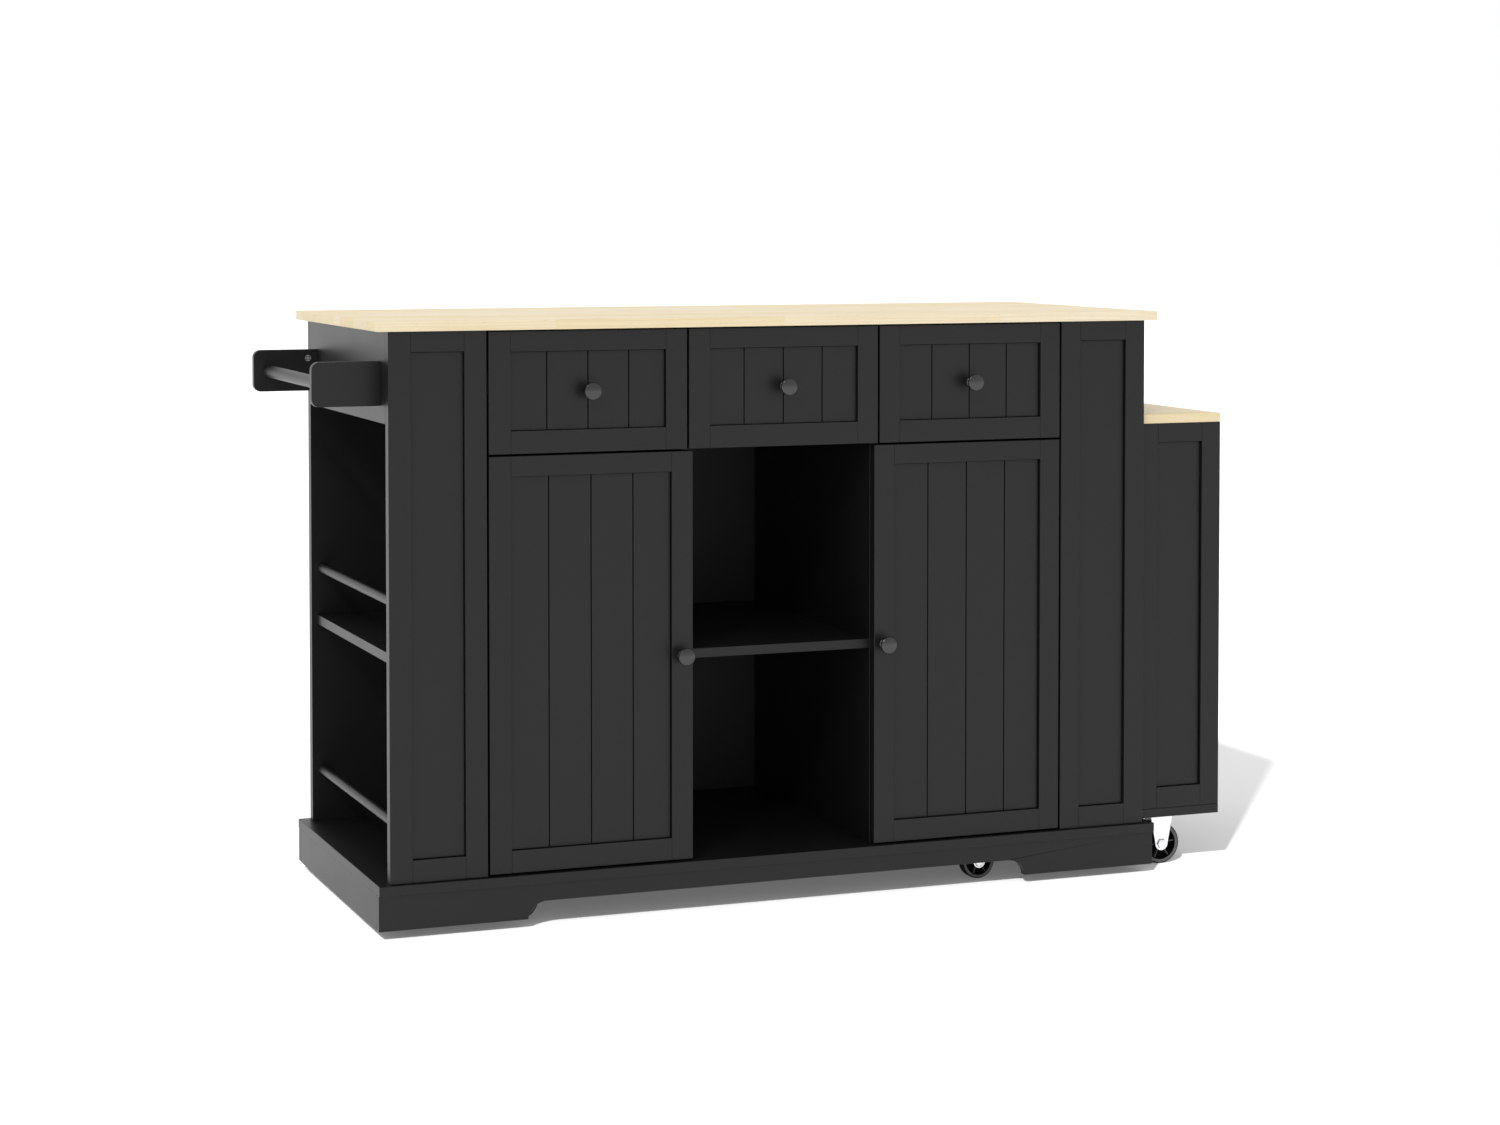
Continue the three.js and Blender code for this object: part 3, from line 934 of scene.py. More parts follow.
@dataclass
class SubAssembly:
    """Part of the island that is built and dressed together."""

    palette: Palette = field(default_factory=Palette)

    def loose_piece(self, name: str, form: Form, slot: Slot, finish: Finish) -> bpy.types.Object:
        """Makes a finished piece from a form, on no body yet.

        Args:
            name: the piece's name.
            form: its shape, in the frame's own place.
            slot: not used.
            finish: how its surface looks.

        Returns:
            The piece.
        """
        mesh = form.mesh(name)
        mesh.shade_smooth()
        mesh.set_sharp_from_angle(angle=SMOOTH_BELOW)
        mesh.materials.append(finish.material())
        thing = added(name, mesh)
        soften(thing)
        log.info("%-30s %6d faces", name, len(mesh.polygons))
        return thing

    def piece(
        self, name: str, form: Form, body: str, slot: Slot, finish: Finish, replaces: Sequence[str] = ()
    ) -> bpy.types.Object:
        """Makes a finished piece from a form and lets it ride on a body.

        Args:
            name: the piece's name.
            form: its shape, in the frame's own place.
            body: the body that it rides on.
            slot: the record's material slot.
            finish: how its surface looks.
            replaces: the frame's nodes that it stands for.

        Returns:
            The piece.
        """
        thing = self.loose_piece(name, form, slot, finish)
        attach(thing, body)
        if replaces:
            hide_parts(*replaces)
        return thing

    def steel(self, name: str, forms: Iterable[Form], body: str, replaces: Sequence[str] = ()) -> None:
        """Makes a piece of zinc-plated hardware, which is joined from its forms and rides on a body."""
        self.piece(name, Form.gathered(forms), body, Slot.STEEL, self.palette.zinc, replaces)


# -------- boards


@dataclass
class Boards(SubAssembly):
    """The boards and rods that stay as the frame has them, with an arris on every edge and their finish."""

    arris: float = 0.9 * MM
    worktop_arris: float = 1.4 * MM
    arris_segments: int = 2
    arris_from: float = 40.0
    weld: float = 0.01 * MM
    painted: tuple[str, ...] = (
        "plinth_front", "plinth_back", "plinth_left", "plinth_right", "rack_divider", "rack_back_board",
        "right_wall", "partition_left", "partition_right", "cubby_shelf", "rack_apron", "rack_shelf",
        "towel_bracket_front", "towel_bracket_back", "leg_base_board",
    )
    rods: tuple[str, ...] = ("rack_rail_lower", "rack_rail_upper", "towel_rod")
    plain: tuple[str, ...] = (
        "back_panel", "lower_deck", "drawer_deck", "drawer_divider_left", "drawer_divider_right",
        "drawer_divider_end",
    )
    wooden: tuple[str, ...] = ("worktop", "tabletop")

    def dress(self, node: str, finish: Finish, arris: float) -> None:
        """Gives a node its edges and its finish.

        Args:
            node: the node's name.
            finish: its finish.
            arris: how far its edges are rounded.
        """
        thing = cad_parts[node]
        weld = thing.modifiers.new("weld", "WELD")
        weld.merge_threshold = self.weld
        bevel = thing.modifiers.new("arris", "BEVEL")
        bevel.width = arris
        bevel.segments = self.arris_segments
        bevel.limit_method = "ANGLE"
        bevel.angle_limit = math.radians(self.arris_from)
        soften(thing)
        thing.data.materials.clear()
        thing.data.materials.append(finish.material())
        log.info("%-30s kept", node)

    def build(self) -> None:
        """Dresses every board and rod."""
        for node in (*self.painted, *self.rods):
            self.dress(node, self.palette.paint, self.arris)
        for node in self.plain:
            self.dress(node, self.palette.board, self.arris)
        for node in self.wooden:
            wood = ButcherBlock(f"butcher_block_{node}", level=middle_of(node).z)
            self.dress(node, wood, self.worktop_arris)


# -------- fasteners


@dataclass(frozen=True)
class Screw:
    """A cross-head screw in place, of which the head shows. Shares are of its head's radius or height."""

    radius: float = 3.8 * MM
    rise: float = 1.7 * MM
    steps: int = 24
    dome: tuple[Point, ...] = ((1.0, 0.0), (1.0, 0.35), (0.84, 0.82), (0.64, 1.0))
    arm: float = 0.52
    arm_width: float = 0.13
    recess: float = 0.8
    recess_floor: float = 0.6

    def _circle(self, form: Form, share: float, height: float) -> list[bmesh.types.BMEdge]:
        """Adds a circle.

        Args:
            form: the form that it goes into.
            share: its radius, as a share of the head's.
            height: its height, as a share of the head's.

        Returns:
            Its edges.
        """
        radius, place = self.radius * share, Matrix.Translation((0, 0, height * self.rise))
        made = bmesh.ops.create_circle(form.bm, segments=self.steps, radius=radius, matrix=place)
        return list(dict.fromkeys(edge for vert in made["verts"] for edge in vert.link_edges))

    def _cross(self, form: Form) -> bmesh.types.BMFace:
        """Adds the outline of the cross, with as many corners as the circles have.

        Args:
            form: the form that it goes into.

        Returns:
            The cross, as a face.
        """
        reach, half = self.arm * self.radius, self.arm_width * self.radius
        arm = [Vector((x, y, self.rise)) for x, y in ((reach, -half), (reach, half), (half, half))]
        corners = []
        for quarter in range(4):
            turn = Matrix.Rotation(math.radians(90 * quarter), 3, "Z")
            corners += [turn @ corner for corner in arm]
        points = []
        for corner, following in zip(corners, corners[1:] + corners[:1]):
            points += [corner, (corner + following) / 2]
        return form.bm.faces.new([form.bm.verts.new(point) for point in points])

    def form(self, at: Point, axis: Axis, outwards: int = 1) -> Form:
        """The head in place.

        Args:
            at: the middle of its seat.
            axis: the direction that the screw runs in.
            outwards: 1 where the head looks along the axis, and -1 where it looks back.

        Returns:
            The head.
        """
        form = Form()
        rings = [self._circle(form, share, height) for share, height in self.dome]
        face = self._cross(form)
        for lower, upper in zip(rings, [*rings[1:], list(face.edges)]):
            bmesh.ops.bridge_loops(form.bm, edges=lower + upper)
        floor = verts_of(bmesh.ops.extrude_face_region(form.bm, geom=[face])["geom"])
        bmesh.ops.translate(form.bm, verts=floor, vec=(0, 0, -self.recess * self.rise))
        bmesh.ops.scale(form.bm, verts=floor, vec=(self.recess_floor, self.recess_floor, 1.0))
        bmesh.ops.delete(form.bm, geom=[face], context="FACES_ONLY")
        bmesh.ops.holes_fill(form.bm, edges=rings[0], sides=self.steps)
        bmesh.ops.recalc_face_normals(form.bm, faces=form.bm.faces)
        turn = axis.turn() if outwards > 0 else axis.turn() @ Matrix.Rotation(math.pi, 4, "X")
        form.bm.transform(Matrix.Translation(at) @ turn)
        return form


def hexagon(radius: float, axis: Axis, start: Point, length: float) -> Form:
    """A hexagon bolt's head or nut, with chamfered corners."""
    return Form.bar(radius, axis, start, length, chamfer=0.12 * radius, steps=6)


# -------- fronts


class Facing(Enum):
    """Which way a framed face looks, as its turn about Z from the front, in degrees."""

    FRONT = 0
    RIGHT = 90
    BACK = 180


@dataclass
class FramedFace(SubAssembly):
    """A frame-and-panel face. Two stiles run its full height, two rails fit between them, and a panel of
    planks lies back in the frame, with a narrow shadow gap round each plank."""

    stile: float = 34.5 * MM
    top_rail: float = 31 * MM
    recess: float = 6 * MM
    back_recess: float = 5 * MM
    backing: float = 2 * MM
    arris: float = 1.1 * MM
    joint_arris: float = 0.25 * MM
    plank_arris: float = 0.3 * MM
    seam: float = 0.2 * MM
    plank_gap: float = 0.8 * MM
    touch: float = 0.05 * MM

    def member(self, low: Point, high: Point, size: Point) -> Form:
        """A stile or a rail, with a fuller arris where it is on the face's rim than at a joint.

        Args:
            low: its lowest corner.
            high: its highest corner.
            size: the face's size.

        Returns:
            The member.
        """
        width, _, height = size

        def at_joint(middle: Vector) -> bool:
            """Whether an edge lies where a stile meets a rail."""
            away = min(abs(middle.x - self.stile), abs(middle.x - width + self.stile))
            return away < self.seam + self.touch

        def on_rim(middle: Vector) -> bool:
            """Whether an edge lies on the face's outline."""
            away = min(middle.x, width - middle.x, middle.z, height - middle.z)
            return away < self.touch and not at_joint(middle)

        form = Form.block(low, high).rounded(self.arris, 2, where=on_rim)
        return form.rounded(self.joint_arris, 1, where=at_joint)

    def form(self, size: Point, joints: int, pitch: float) -> Form:
        """The whole face, with its lowest front left corner at the origin.

        Args:
            size: its width, thickness and height.
            joints: the number of joints in the panel.
            pitch: the distance between them.

        Returns:
            The face.
        """
        width, depth, height = size
        inner, far, top = self.stile, width - self.stile, height - self.top_rail
        back, gap, seam = depth - self.back_recess, self.plank_gap, self.seam
        members = [
            self.member((0, 0, 0), (inner, depth, height), size),
            self.member((far, 0, 0), (width, depth, height), size),
            self.member((inner + seam, 0, 0), (far - seam, depth, inner), size),
            self.member((inner + seam, 0, top), (far - seam, depth, height), size),
            Form.block((inner, back - self.backing, inner), (far, back, top)),
        ]
        lines = [width / 2 + (n - (joints - 1) / 2) * pitch for n in range(joints)]
        for left, right in zip([inner, *lines], [*lines, far]):
            low = (left + gap, self.recess, inner + gap)
            high = (right - gap, back - self.backing, top - gap)
            members.append(Form.block(low, high, self.plank_arris, 1))
        return Form.gathered(members)

    def build(
        self,
        node: str,
        name: str,
        body: str,
        facing: Facing = Facing.FRONT,
        joints: int = 0,
        pitch: float = 0.0,
    ) -> None:
        """Makes the face in the place of a node.

        Args:
            node: the node that it stands for.
            name: the piece's name.
            body: the body that it rides on.
            facing: which way it looks.
            joints: the number of joints in its panel.
            pitch: the distance between them.
        """
        low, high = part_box(node)
        span = high - low
        size = (span.y, span.x, span.z) if facing is Facing.RIGHT else tuple(span)
        corner = {
            Facing.FRONT: (low.x, low.y, low.z),
            Facing.RIGHT: (high.x, low.y, low.z),
            Facing.BACK: (high.x, high.y, low.z),
        }[facing]
        form = self.form(size, joints, pitch).rotated(facing.value, Axis.Z, (0, 0, 0)).moved(corner)
        self.piece(name, form, body, Slot.PAINT, self.palette.paint, [node])


@dataclass
class Knob(SubAssembly):
    """A turned knob with a shallow domed face, and the head of its screw behind the front."""

    reach: float = 24 * MM
    radius: float = 13.75 * MM
    foot: float = 8 * MM
    neck: float = 5 * MM
    flare: float = 0.6 * MM
    hollow: float = 2 * MM
    back_inset: float = 1.2 * MM
    shoulder_inset: float = 2.2 * MM
    steps: int = 48
    screw: Screw = Screw(radius=4.4 * MM, rise=2.2 * MM)

    def profile(self) -> list[Point]:
        """The knob's section. Its heights are shares of how far the knob reaches.

        Returns:
            Pairs of radius and height, from its seat to the middle of its face.
        """
        reach, radius, neck = self.reach, self.radius, self.neck
        seat_edge = (self.foot, 0.06 * reach)
        waist = (neck, 0.34 * reach)
        throat = (neck + self.flare, 0.52 * reach)
        back = (radius - self.back_inset, 0.70 * reach)
        rim = (radius, 0.80 * reach)
        shoulder = (radius - self.shoulder_inset, 0.925 * reach)
        points = [(0.0, 0.0), (self.foot, 0.0), seat_edge]
        points += curve(seat_edge, (neck, 0.10 * reach), waist, 5)
        points += [throat]
        points += curve(throat, (neck + self.hollow, 0.68 * reach), back, 6)
        points += curve(back, (radius, 0.715 * reach), rim, 4)
        points += curve(rim, (radius, 0.895 * reach), shoulder, 5)
        points += curve(shoulder, (0.45 * radius, reach), (0.0, reach), 6)
        return points

    def build(self, owner: str, behind: float) -> None:
        """Makes a knob in the place of the owner's knob node.

        Args:
            owner: the drawer's or door's body, on which the knob rides.
            behind: the face behind the front on which its screw sits, on Y.
        """
        node = f"{owner}_knob"
        seat = middle_of(node)
        seat.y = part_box(node)[1].y
        outwards = [(radius, -height) for radius, height in self.profile()]
        knob = Form.turned(outwards, Axis.Y, seat, self.steps)
        self.piece(f"{owner}_turned_knob", knob, owner, Slot.KNOB, self.palette.knob, [node])
        self.steel(f"{owner}_knob_screw", [self.screw.form((seat.x, behind, seat.z), Axis.Y)], owner)


# -------- drawers


@dataclass
class Slides(SubAssembly):
    """A drawer's two slides. Each has an outer member on the cabinet and an inner one on the box."""

    room: float = 13 * MM
    outer_height: float = 42 * MM
    inner_height: float = 30 * MM
    outer_depth: float = 9.5 * MM
    inner_depth: float = 8.5 * MM
    drop: float = 10 * MM
    setback: float = 3 * MM
    length: float = 440 * MM
    gauge: float = 1.2 * MM
    arris: float = 0.3 * MM

    def channel(
        self, wall: float, towards: int, front: float, middle: float, height: float, depth: float
    ) -> Form:
        """One member: a web against a wall, and a lip along its top and bottom.

        Args:
            wall: where the wall's face is, on X.
            towards: 1 where the member stands to the right of it, and -1 to the left.
            front: the box's front, on Y.
            middle: the height of the slide's middle.
            height: the member's height.
            depth: how far its lips stand out.

        Returns:
            The member.
        """
        start, end = front + self.setback, front + self.length
        web = sorted((wall, wall + towards * self.gauge))
        lip = sorted((wall, wall + towards * depth))
        bottom, top = middle - height / 2, middle + height / 2
        return Form.gathered(
            [
                Form.block((web[0], start, bottom), (web[1], end, top)),
                Form.block((lip[0], start, bottom), (lip[1], end, bottom + self.gauge), self.arris),
                Form.block((lip[0], start, top - self.gauge), (lip[1], end, top), self.arris),
            ]
        )

    def build(self, body: str) -> None:
        """Makes both slides.

        Args:
            body: the drawer's body.
        """
        low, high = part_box(f"{body}_box")
        line = (low.y, (low.z + high.z) / 2 - self.drop)
        outer, inner = (self.outer_height, self.outer_depth), (self.inner_height, self.inner_depth)
        fixed = [
            self.channel(low.x - self.room, 1, *line, *outer),
            self.channel(high.x + self.room, -1, *line, *outer),
        ]
        moving = [self.channel(low.x, -1, *line, *inner), self.channel(high.x, 1, *line, *inner)]
        self.steel(f"{body}_outer_slides", fixed, "root")
        self.steel(f"{body}_inner_slides", moving, body)


@dataclass
class Drawer(SubAssembly):
    """A drawer: its framed front, its knob, a box of boards and its slides."""

    place: str = "left"
    wall: float = 12 * MM
    floor: float = 6 * MM
    arris: float = 0.8 * MM
    joint_pitch: float = 65.5 * MM
    screw_inset: float = 36 * MM
    screw_drop: float = 24 * MM

    def build(self) -> None:
        """Makes the drawer."""
        body = f"drawer_{self.place}"
        FramedFace().build(f"{body}_front", f"{body}_face", body, joints=3, pitch=self.joint_pitch)
        low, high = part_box(f"{body}_box")
        self.add_box(body, low, high)
        Knob().build(body, low.y + self.wall)
        Slides().build(body)

    def add_box(self, body: str, low: Vector, high: Vector) -> None:
        """Joins the box's boards and fixes them to the front with four screws.

        Args:
            body: the body that the drawer rides on.
            low: the box's lowest corner.
            high: its highest corner.
        """
        wall = self.wall
        left, right, front, back = low.x + wall, high.x - wall, low.y + wall, high.y - wall
        walls = [
            (low, (left, high.y, high.z)),
            ((right, low.y, low.z), high),
            ((left, low.y, low.z), (right, front, high.z)),
            ((left, back, low.z), (right, high.y, high.z)),
        ]
        boards = [Form.block(*corners, arris=self.arris) for corners in walls]
        boards.append(Form.block((left, front, low.z), (right, back, low.z + self.floor)))
        box = Form.gathered(boards)
        self.piece(f"{body}_boards", box, body, Slot.BOARD, self.palette.board, [f"{body}_box"])
        heads = [
            Screw().form((x, front, z), Axis.Y)
            for x in (low.x + self.screw_inset, high.x - self.screw_inset)
            for z in (low.z + self.screw_inset, high.z - self.screw_drop)
        ]
        self.steel(f"{body}_screws", heads, body)


# -------- doors


class Hand(Enum):
    """The side on which a door is hinged, as the direction on X from its edge to its middle."""

    LEFT = 1
    RIGHT = -1


@dataclass
class ConcealedHinge(SubAssembly):
    """A door's pair of concealed hinges. Each has a plate and an arm on the cabinet, a cup in the door's
    stile, and a link between them that rides on no body."""

    # The cup, and the flange round it
    cup_radius: float = 12.5 * MM
    cup_inset: float = 16.5 * MM
    cup_lip: tuple[Point, ...] = (
        (0.0, 2.6 * MM), (1.4 * MM, 3.2 * MM), (2.2 * MM, 2.4 * MM), (2.6 * MM, 1.2 * MM)
    )
    flange: float = 1.2 * MM
    flange_width: float = 26 * MM
    flange_height: float = 42 * MM
    flange_corner: float = 6 * MM
    flange_screws: float = 34 * MM
    cup_screw: Screw = Screw(radius=2.9 * MM, rise=1.2 * MM)

    # The plate on the cabinet and the arm on it, by their distance from the door's face
    plate: float = 2 * MM
    plate_from: float = 42 * MM
    plate_to: float = 62 * MM
    plate_height: float = 50 * MM
    plate_corner: float = 5 * MM
    plate_screws: float = 34 * MM
    arm_top: float = 10 * MM
    arm_width: float = 13 * MM
    arm_from: float = 27 * MM
    arm_to: float = 84 * MM
    arm_corner: float = 3.2 * MM
    arm_screws: tuple[float, float] = (46 * MM, 72 * MM)
    arm_screw: Screw = Screw(radius=3.2 * MM, rise=1.0 * MM)
    plate_screw: Screw = Screw(radius=3.4 * MM, rise=1.6 * MM)
    arris: float = 0.4 * MM
    arm_arris: float = 0.5 * MM

    # The link between the arm and the cup
    link_width: float = 8 * MM
    link_gauge: float = 1.6 * MM
    link_in_arm: float = 6 * MM
    link_in_cup: float = 1 * MM
    link_bend: tuple[float, float] = (3 * MM, 4 * MM)
    link_steps: int = 14

    def cup(self, at: Vector) -> list[Form]:
        """A cup in the door's back, with a flange and two screws.

        Args:
            at: its middle, on the door's back.

        Returns:
            Its parts.
        """
        half_width, half_height = self.flange_width / 2, self.flange_height / 2
        radius, gauge = self.cup_radius, self.flange
        flange = Form.block(
            (at.x - half_width, at.y, at.z - half_height),
            (at.x + half_width, at.y + gauge, at.z + half_height),
        )
        flange.rounded(self.flange_corner, 5, along=Axis.Y).rounded(self.arris, 1)
        lip = [(radius - inset, height) for inset, height in self.cup_lip]
        section = [(0.0, 0.0), (radius, 0.0), *lip, (0.0, gauge)]
        heads = [
            self.cup_screw.form((at.x, at.y + gauge, at.z + side * self.flange_screws / 2), Axis.Y)
            for side in (-1, 1)
        ]
        return [flange, Form.turned(section, Axis.Y, at, 36), *heads]

    def arm(self, at: Vector, hand: int) -> list[Form]:
        """A plate and an arm on the cabinet, with their screws.

        Args:
            at: the place of its middle on the wall that it is fixed to, at the door's face.
            hand: the direction on X in which it stands on that wall.

        Returns:
            Its parts.
        """
        half_plate, half_arm = self.plate_height / 2, self.arm_width / 2
        seat, top = at.x + hand * self.plate, at.x + hand * self.arm_top
        plate_x, arm_x = sorted((at.x, seat)), sorted((seat, top))
        plate = Form.block(
            (plate_x[0], at.y + self.plate_from, at.z - half_plate),
            (plate_x[1], at.y + self.plate_to, at.z + half_plate),
        )
        plate.rounded(self.plate_corner, 4, along=Axis.X).rounded(self.arris, 1)
        arm = Form.block(
            (arm_x[0], at.y + self.arm_from, at.z - half_arm),
            (arm_x[1], at.y + self.arm_to, at.z + half_arm),
        )
        arm.rounded(self.arm_corner, 4, along=Axis.Y).rounded(self.arm_arris, 1)
        heads = [self.arm_screw.form((top, at.y + y, at.z), Axis.X, hand) for y in self.arm_screws]
        y = at.y + (self.plate_from + self.plate_to) / 2
        for z in (at.z - self.plate_screws / 2, at.z + self.plate_screws / 2):
            heads.append(self.plate_screw.form((seat, y, z), Axis.X, hand))
        return [plate, arm, *heads]

    def build(self, body: str, hand: Hand, wall: float, heights: Sequence[float]) -> None:
        """Makes the hinges of a door.

        Args:
            body: the door's body.
            hand: the side on which it is hinged.
            wall: the cabinet's face that the hinges are fixed to, on X.
            heights: the hinges' heights.
        """
        low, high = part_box(body)
        edge, towards = (low.x if hand is Hand.LEFT else high.x), hand.value
        cup_x = edge + towards * self.cup_inset
        arm_x = wall + towards * (self.plate + self.arm_top) / 2
        across, behind = self.link_bend
        start = (arm_x, low.y + self.arm_from + self.link_in_arm, 0.0)
        end = (cup_x + towards * self.link_in_cup, high.y + self.link_gauge, 0.0)
        bend = (arm_x + towards * across, end[1] + behind, 0.0)
        path = [start, *curve(start, bend, end, self.link_steps)]
        cups, arms, links = [], [], []
        for z in heights:
            cups += self.cup(Vector((cup_x, high.y, z)))
            arms += self.arm(Vector((wall, low.y, z)), towards)
            lower = [(x, y, z - self.link_width / 2) for x, y, _ in path]
            links.append(Form.strip(lower, self.link_width, self.link_gauge))
        self.steel(f"{body}_hinge_cups", cups, body)
        self.steel(f"{body}_hinge_arms", arms, "root")
        link = self.loose_piece(f"{body}_hinge_links", Form.gathered(links), Slot.STEEL, self.palette.zinc)
        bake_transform(link)


@dataclass
class Door(SubAssembly):
    """A framed door with its knob and two concealed hinges."""

    hand: Hand = Hand.LEFT
    joint_pitch: float = 67.5 * MM
    hinge_inset: float = 96 * MM

    def build(self) -> None:
        """Makes the door."""
        body = f"door_{self.hand.name.lower()}"
        FramedFace().build(body, f"{body}_face", body, joints=3, pitch=self.joint_pitch)
        low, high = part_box(body)
        Knob().build(body, high.y)
        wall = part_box("rack_divider")[1].x if self.hand is Hand.LEFT else HingeBatten().faces()[0]
        heights = (low.z + self.hinge_inset, high.z - self.hinge_inset)
        ConcealedHinge().build(body, self.hand, wall, heights)


@dataclass
class HingeBatten(SubAssembly):
    """The upright batten behind the right end panel, to which the right door is hinged."""

    clear: float = 1.5 * MM
    width: float = 18 * MM
    depth: float = 60 * MM
    arris: float = 0.8 * MM

    def faces(self) -> tuple[float, float]:
        """Its left and right faces, on X."""
        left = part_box("end_panel_right")[0].x - self.clear
        return left, left + self.width

    def build(self) -> None:
        """Makes the batten, between the bottom board and the lower deck."""
        left, right = self.faces()
        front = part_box("partition_right")[0].y
        low = (left, front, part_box("base_plate")[1].z)
        high = (right, front + self.depth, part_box("lower_deck")[0].z)
        batten = Form.block(low, high, self.arris)
        self.piece("hinge_batten", batten, "root", Slot.PAINT, self.palette.paint)


@dataclass
class CupboardShelves(SubAssembly):
    """A loose shelf behind each door, on four steel pins."""

    front_setback: float = 48 * MM
    back_setback: float = 6 * MM
    play: float = 0.7 * MM
    arris: float = 0.8 * MM
    pin_radius: float = 2.5 * MM
    pin_length: float = 9 * MM
    pin_chamfer: float = 0.5 * MM
    pin_inset: float = 40 * MM

    def build(self) -> None:
        """Makes both shelves and their pins."""
        shelf_low, shelf_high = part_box("cubby_shelf")
        spans = {
            "left": (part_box("rack_divider")[1].x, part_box("partition_left")[0].x),
            "right": (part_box("partition_right")[1].x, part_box("right_wall")[0].x),
        }
        front, back = shelf_low.y + self.front_setback, shelf_high.y - self.back_setback
        pins = []
        for place, (left, right) in spans.items():
            low = (left + self.play, front, shelf_low.z)
            high = (right - self.play, back, shelf_high.z)
            shelf = Form.block(low, high, self.arris)
            self.piece(f"cupboard_shelf_{place}", shelf, "root", Slot.BOARD, self.palette.board)
            for y in (front + self.pin_inset, back - self.pin_inset):
                for start in (left, right - self.pin_length):
                    at = (start, y, shelf_low.z - self.pin_radius)
                    pin = Form.bar(self.pin_radius, Axis.X, at, self.pin_length, self.pin_chamfer, 16)
                    pins.append(pin)
        self.steel("shelf_pins", pins, "root")


# -------- casters


@dataclass
class CasterWheel(SubAssembly):
    """A moulded wheel: a rubber tread, a black centre, and pale rings and spokes of painted highlight."""

    half_width: float = 9 * MM
    rim_share: float = 0.80
    rim: float = 1.8 * MM
    rim_setback: float = 1.2 * MM
    half_web: float = 1.6 * MM
    web_fillet: float = 0.8 * MM
    tread_shoulder: float = 2.2 * MM
    tread_lip: tuple[float, float] = (0.5 * MM, 0.8 * MM)
    band_share: float = 0.935
    band_rise: float = 0.3 * MM
    hub: float = 7.5 * MM
    bore: float = 3.3 * MM
    spokes: int = 6
    spoke: float = 1.3 * MM
    spoke_setback: float = 1.6 * MM
    spoke_arris: float = 0.35 * MM
    spoke_overlap: tuple[float, float] = (0.4 * MM, 0.3 * MM)
    first_spoke: float = 53.0
    steps: int = 56

    def tread_profile(self, radius: float) -> list[Point]:
        """The tyre's section: flat side walls, round shoulders and a flat tread.

        Args:
            radius: the wheel's radius.

        Returns:
            Pairs of radius and place along the axle, closed on themselves.
        """
        inner, half, wall = self.rim_share * radius, self.half_width, radius - self.tread_shoulder
        lip, lip_depth = self.tread_lip
        points = [(inner, -half + lip_depth), (inner + lip, -half), (wall, -half)]
        points += curve((wall, -half), (radius, -half), (radius, -half + self.tread_shoulder), 5)
        points += [(radius, half - self.tread_shoulder)]
        points += curve((radius, half - self.tread_shoulder), (radius, half), (wall, half), 5)
        points += [(inner + lip, half), (inner, half - lip_depth), (inner, -half + lip_depth)]
        return points

    def rim_profile(self, radius: float) -> list[Point]:
        """The section of the wheel's rim and of the web inside it.

        Args:
            radius: the wheel's radius.

        Returns:
            Pairs of radius and place along the axle, closed on themselves.
        """
        outer, face, web = self.rim_share * radius, self.half_width - self.rim_setback, self.half_web
        inner = outer - self.rim
        foot = inner - self.web_fillet
        return [
            (outer, -face), (inner, -face), (foot, -web), (self.hub, -web), (self.hub, web), (foot, web),
            (inner, face), (outer, face), (outer, -face),
        ]

    def build(self, name: str, node: str, body: str) -> None:
        """Makes the wheel in the place of a node.

        Args:
            name: the start of the pieces' names.
            node: the node that it stands for.
            body: the body that it rides on.
        """
        middle = middle_of(node)
        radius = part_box(node)[1].z - middle.z
        tread = Form.turned(self.tread_profile(radius), Axis.Y, middle, self.steps)
        self.piece(f"{name}_tread", tread, body, Slot.WHEEL, self.palette.tyre)

        start = (middle.x, middle.y - self.half_width, middle.z)
        rim = Form.turned(self.rim_profile(radius), Axis.Y, middle, self.steps)
        hub = Form.ring(self.bore, self.hub, Axis.Y, start, 2 * self.half_width)
        # The centre is darker and duller than black plastic: painted shade of its recess.
        self.piece(f"{name}_centre", rim.joined(hub), body, Slot.WHEEL, self.palette.wheel, [node])

        # Both sides' ring and spokes are pale as painted highlight, for light on walls and spoke edges.
        inner, outer = self.rim_share * radius, self.band_share * radius
        half_band = self.half_width + self.band_rise
        start = (middle.x, middle.y - half_band, middle.z)
        band = Form.ring(inner, outer, Axis.Y, start, 2 * half_band, self.steps)
        into_hub, into_rim = self.spoke_overlap
        from_axle, to_rim = self.hub - into_hub, inner - self.rim + into_rim
        half, thick = self.half_width - self.spoke_setback, self.spoke / 2
        for turn in range(self.spokes):
            corners = (from_axle, -half, -thick), (to_rim, half, thick)
            spoke = Form.block(*corners, self.spoke_arris, 1).moved(middle)
            band.joined(spoke.rotated(self.first_spoke + 360 * turn / self.spokes, Axis.Y, middle))
        self.piece(f"{name}_band", band, body, Slot.WHEEL, self.palette.band)


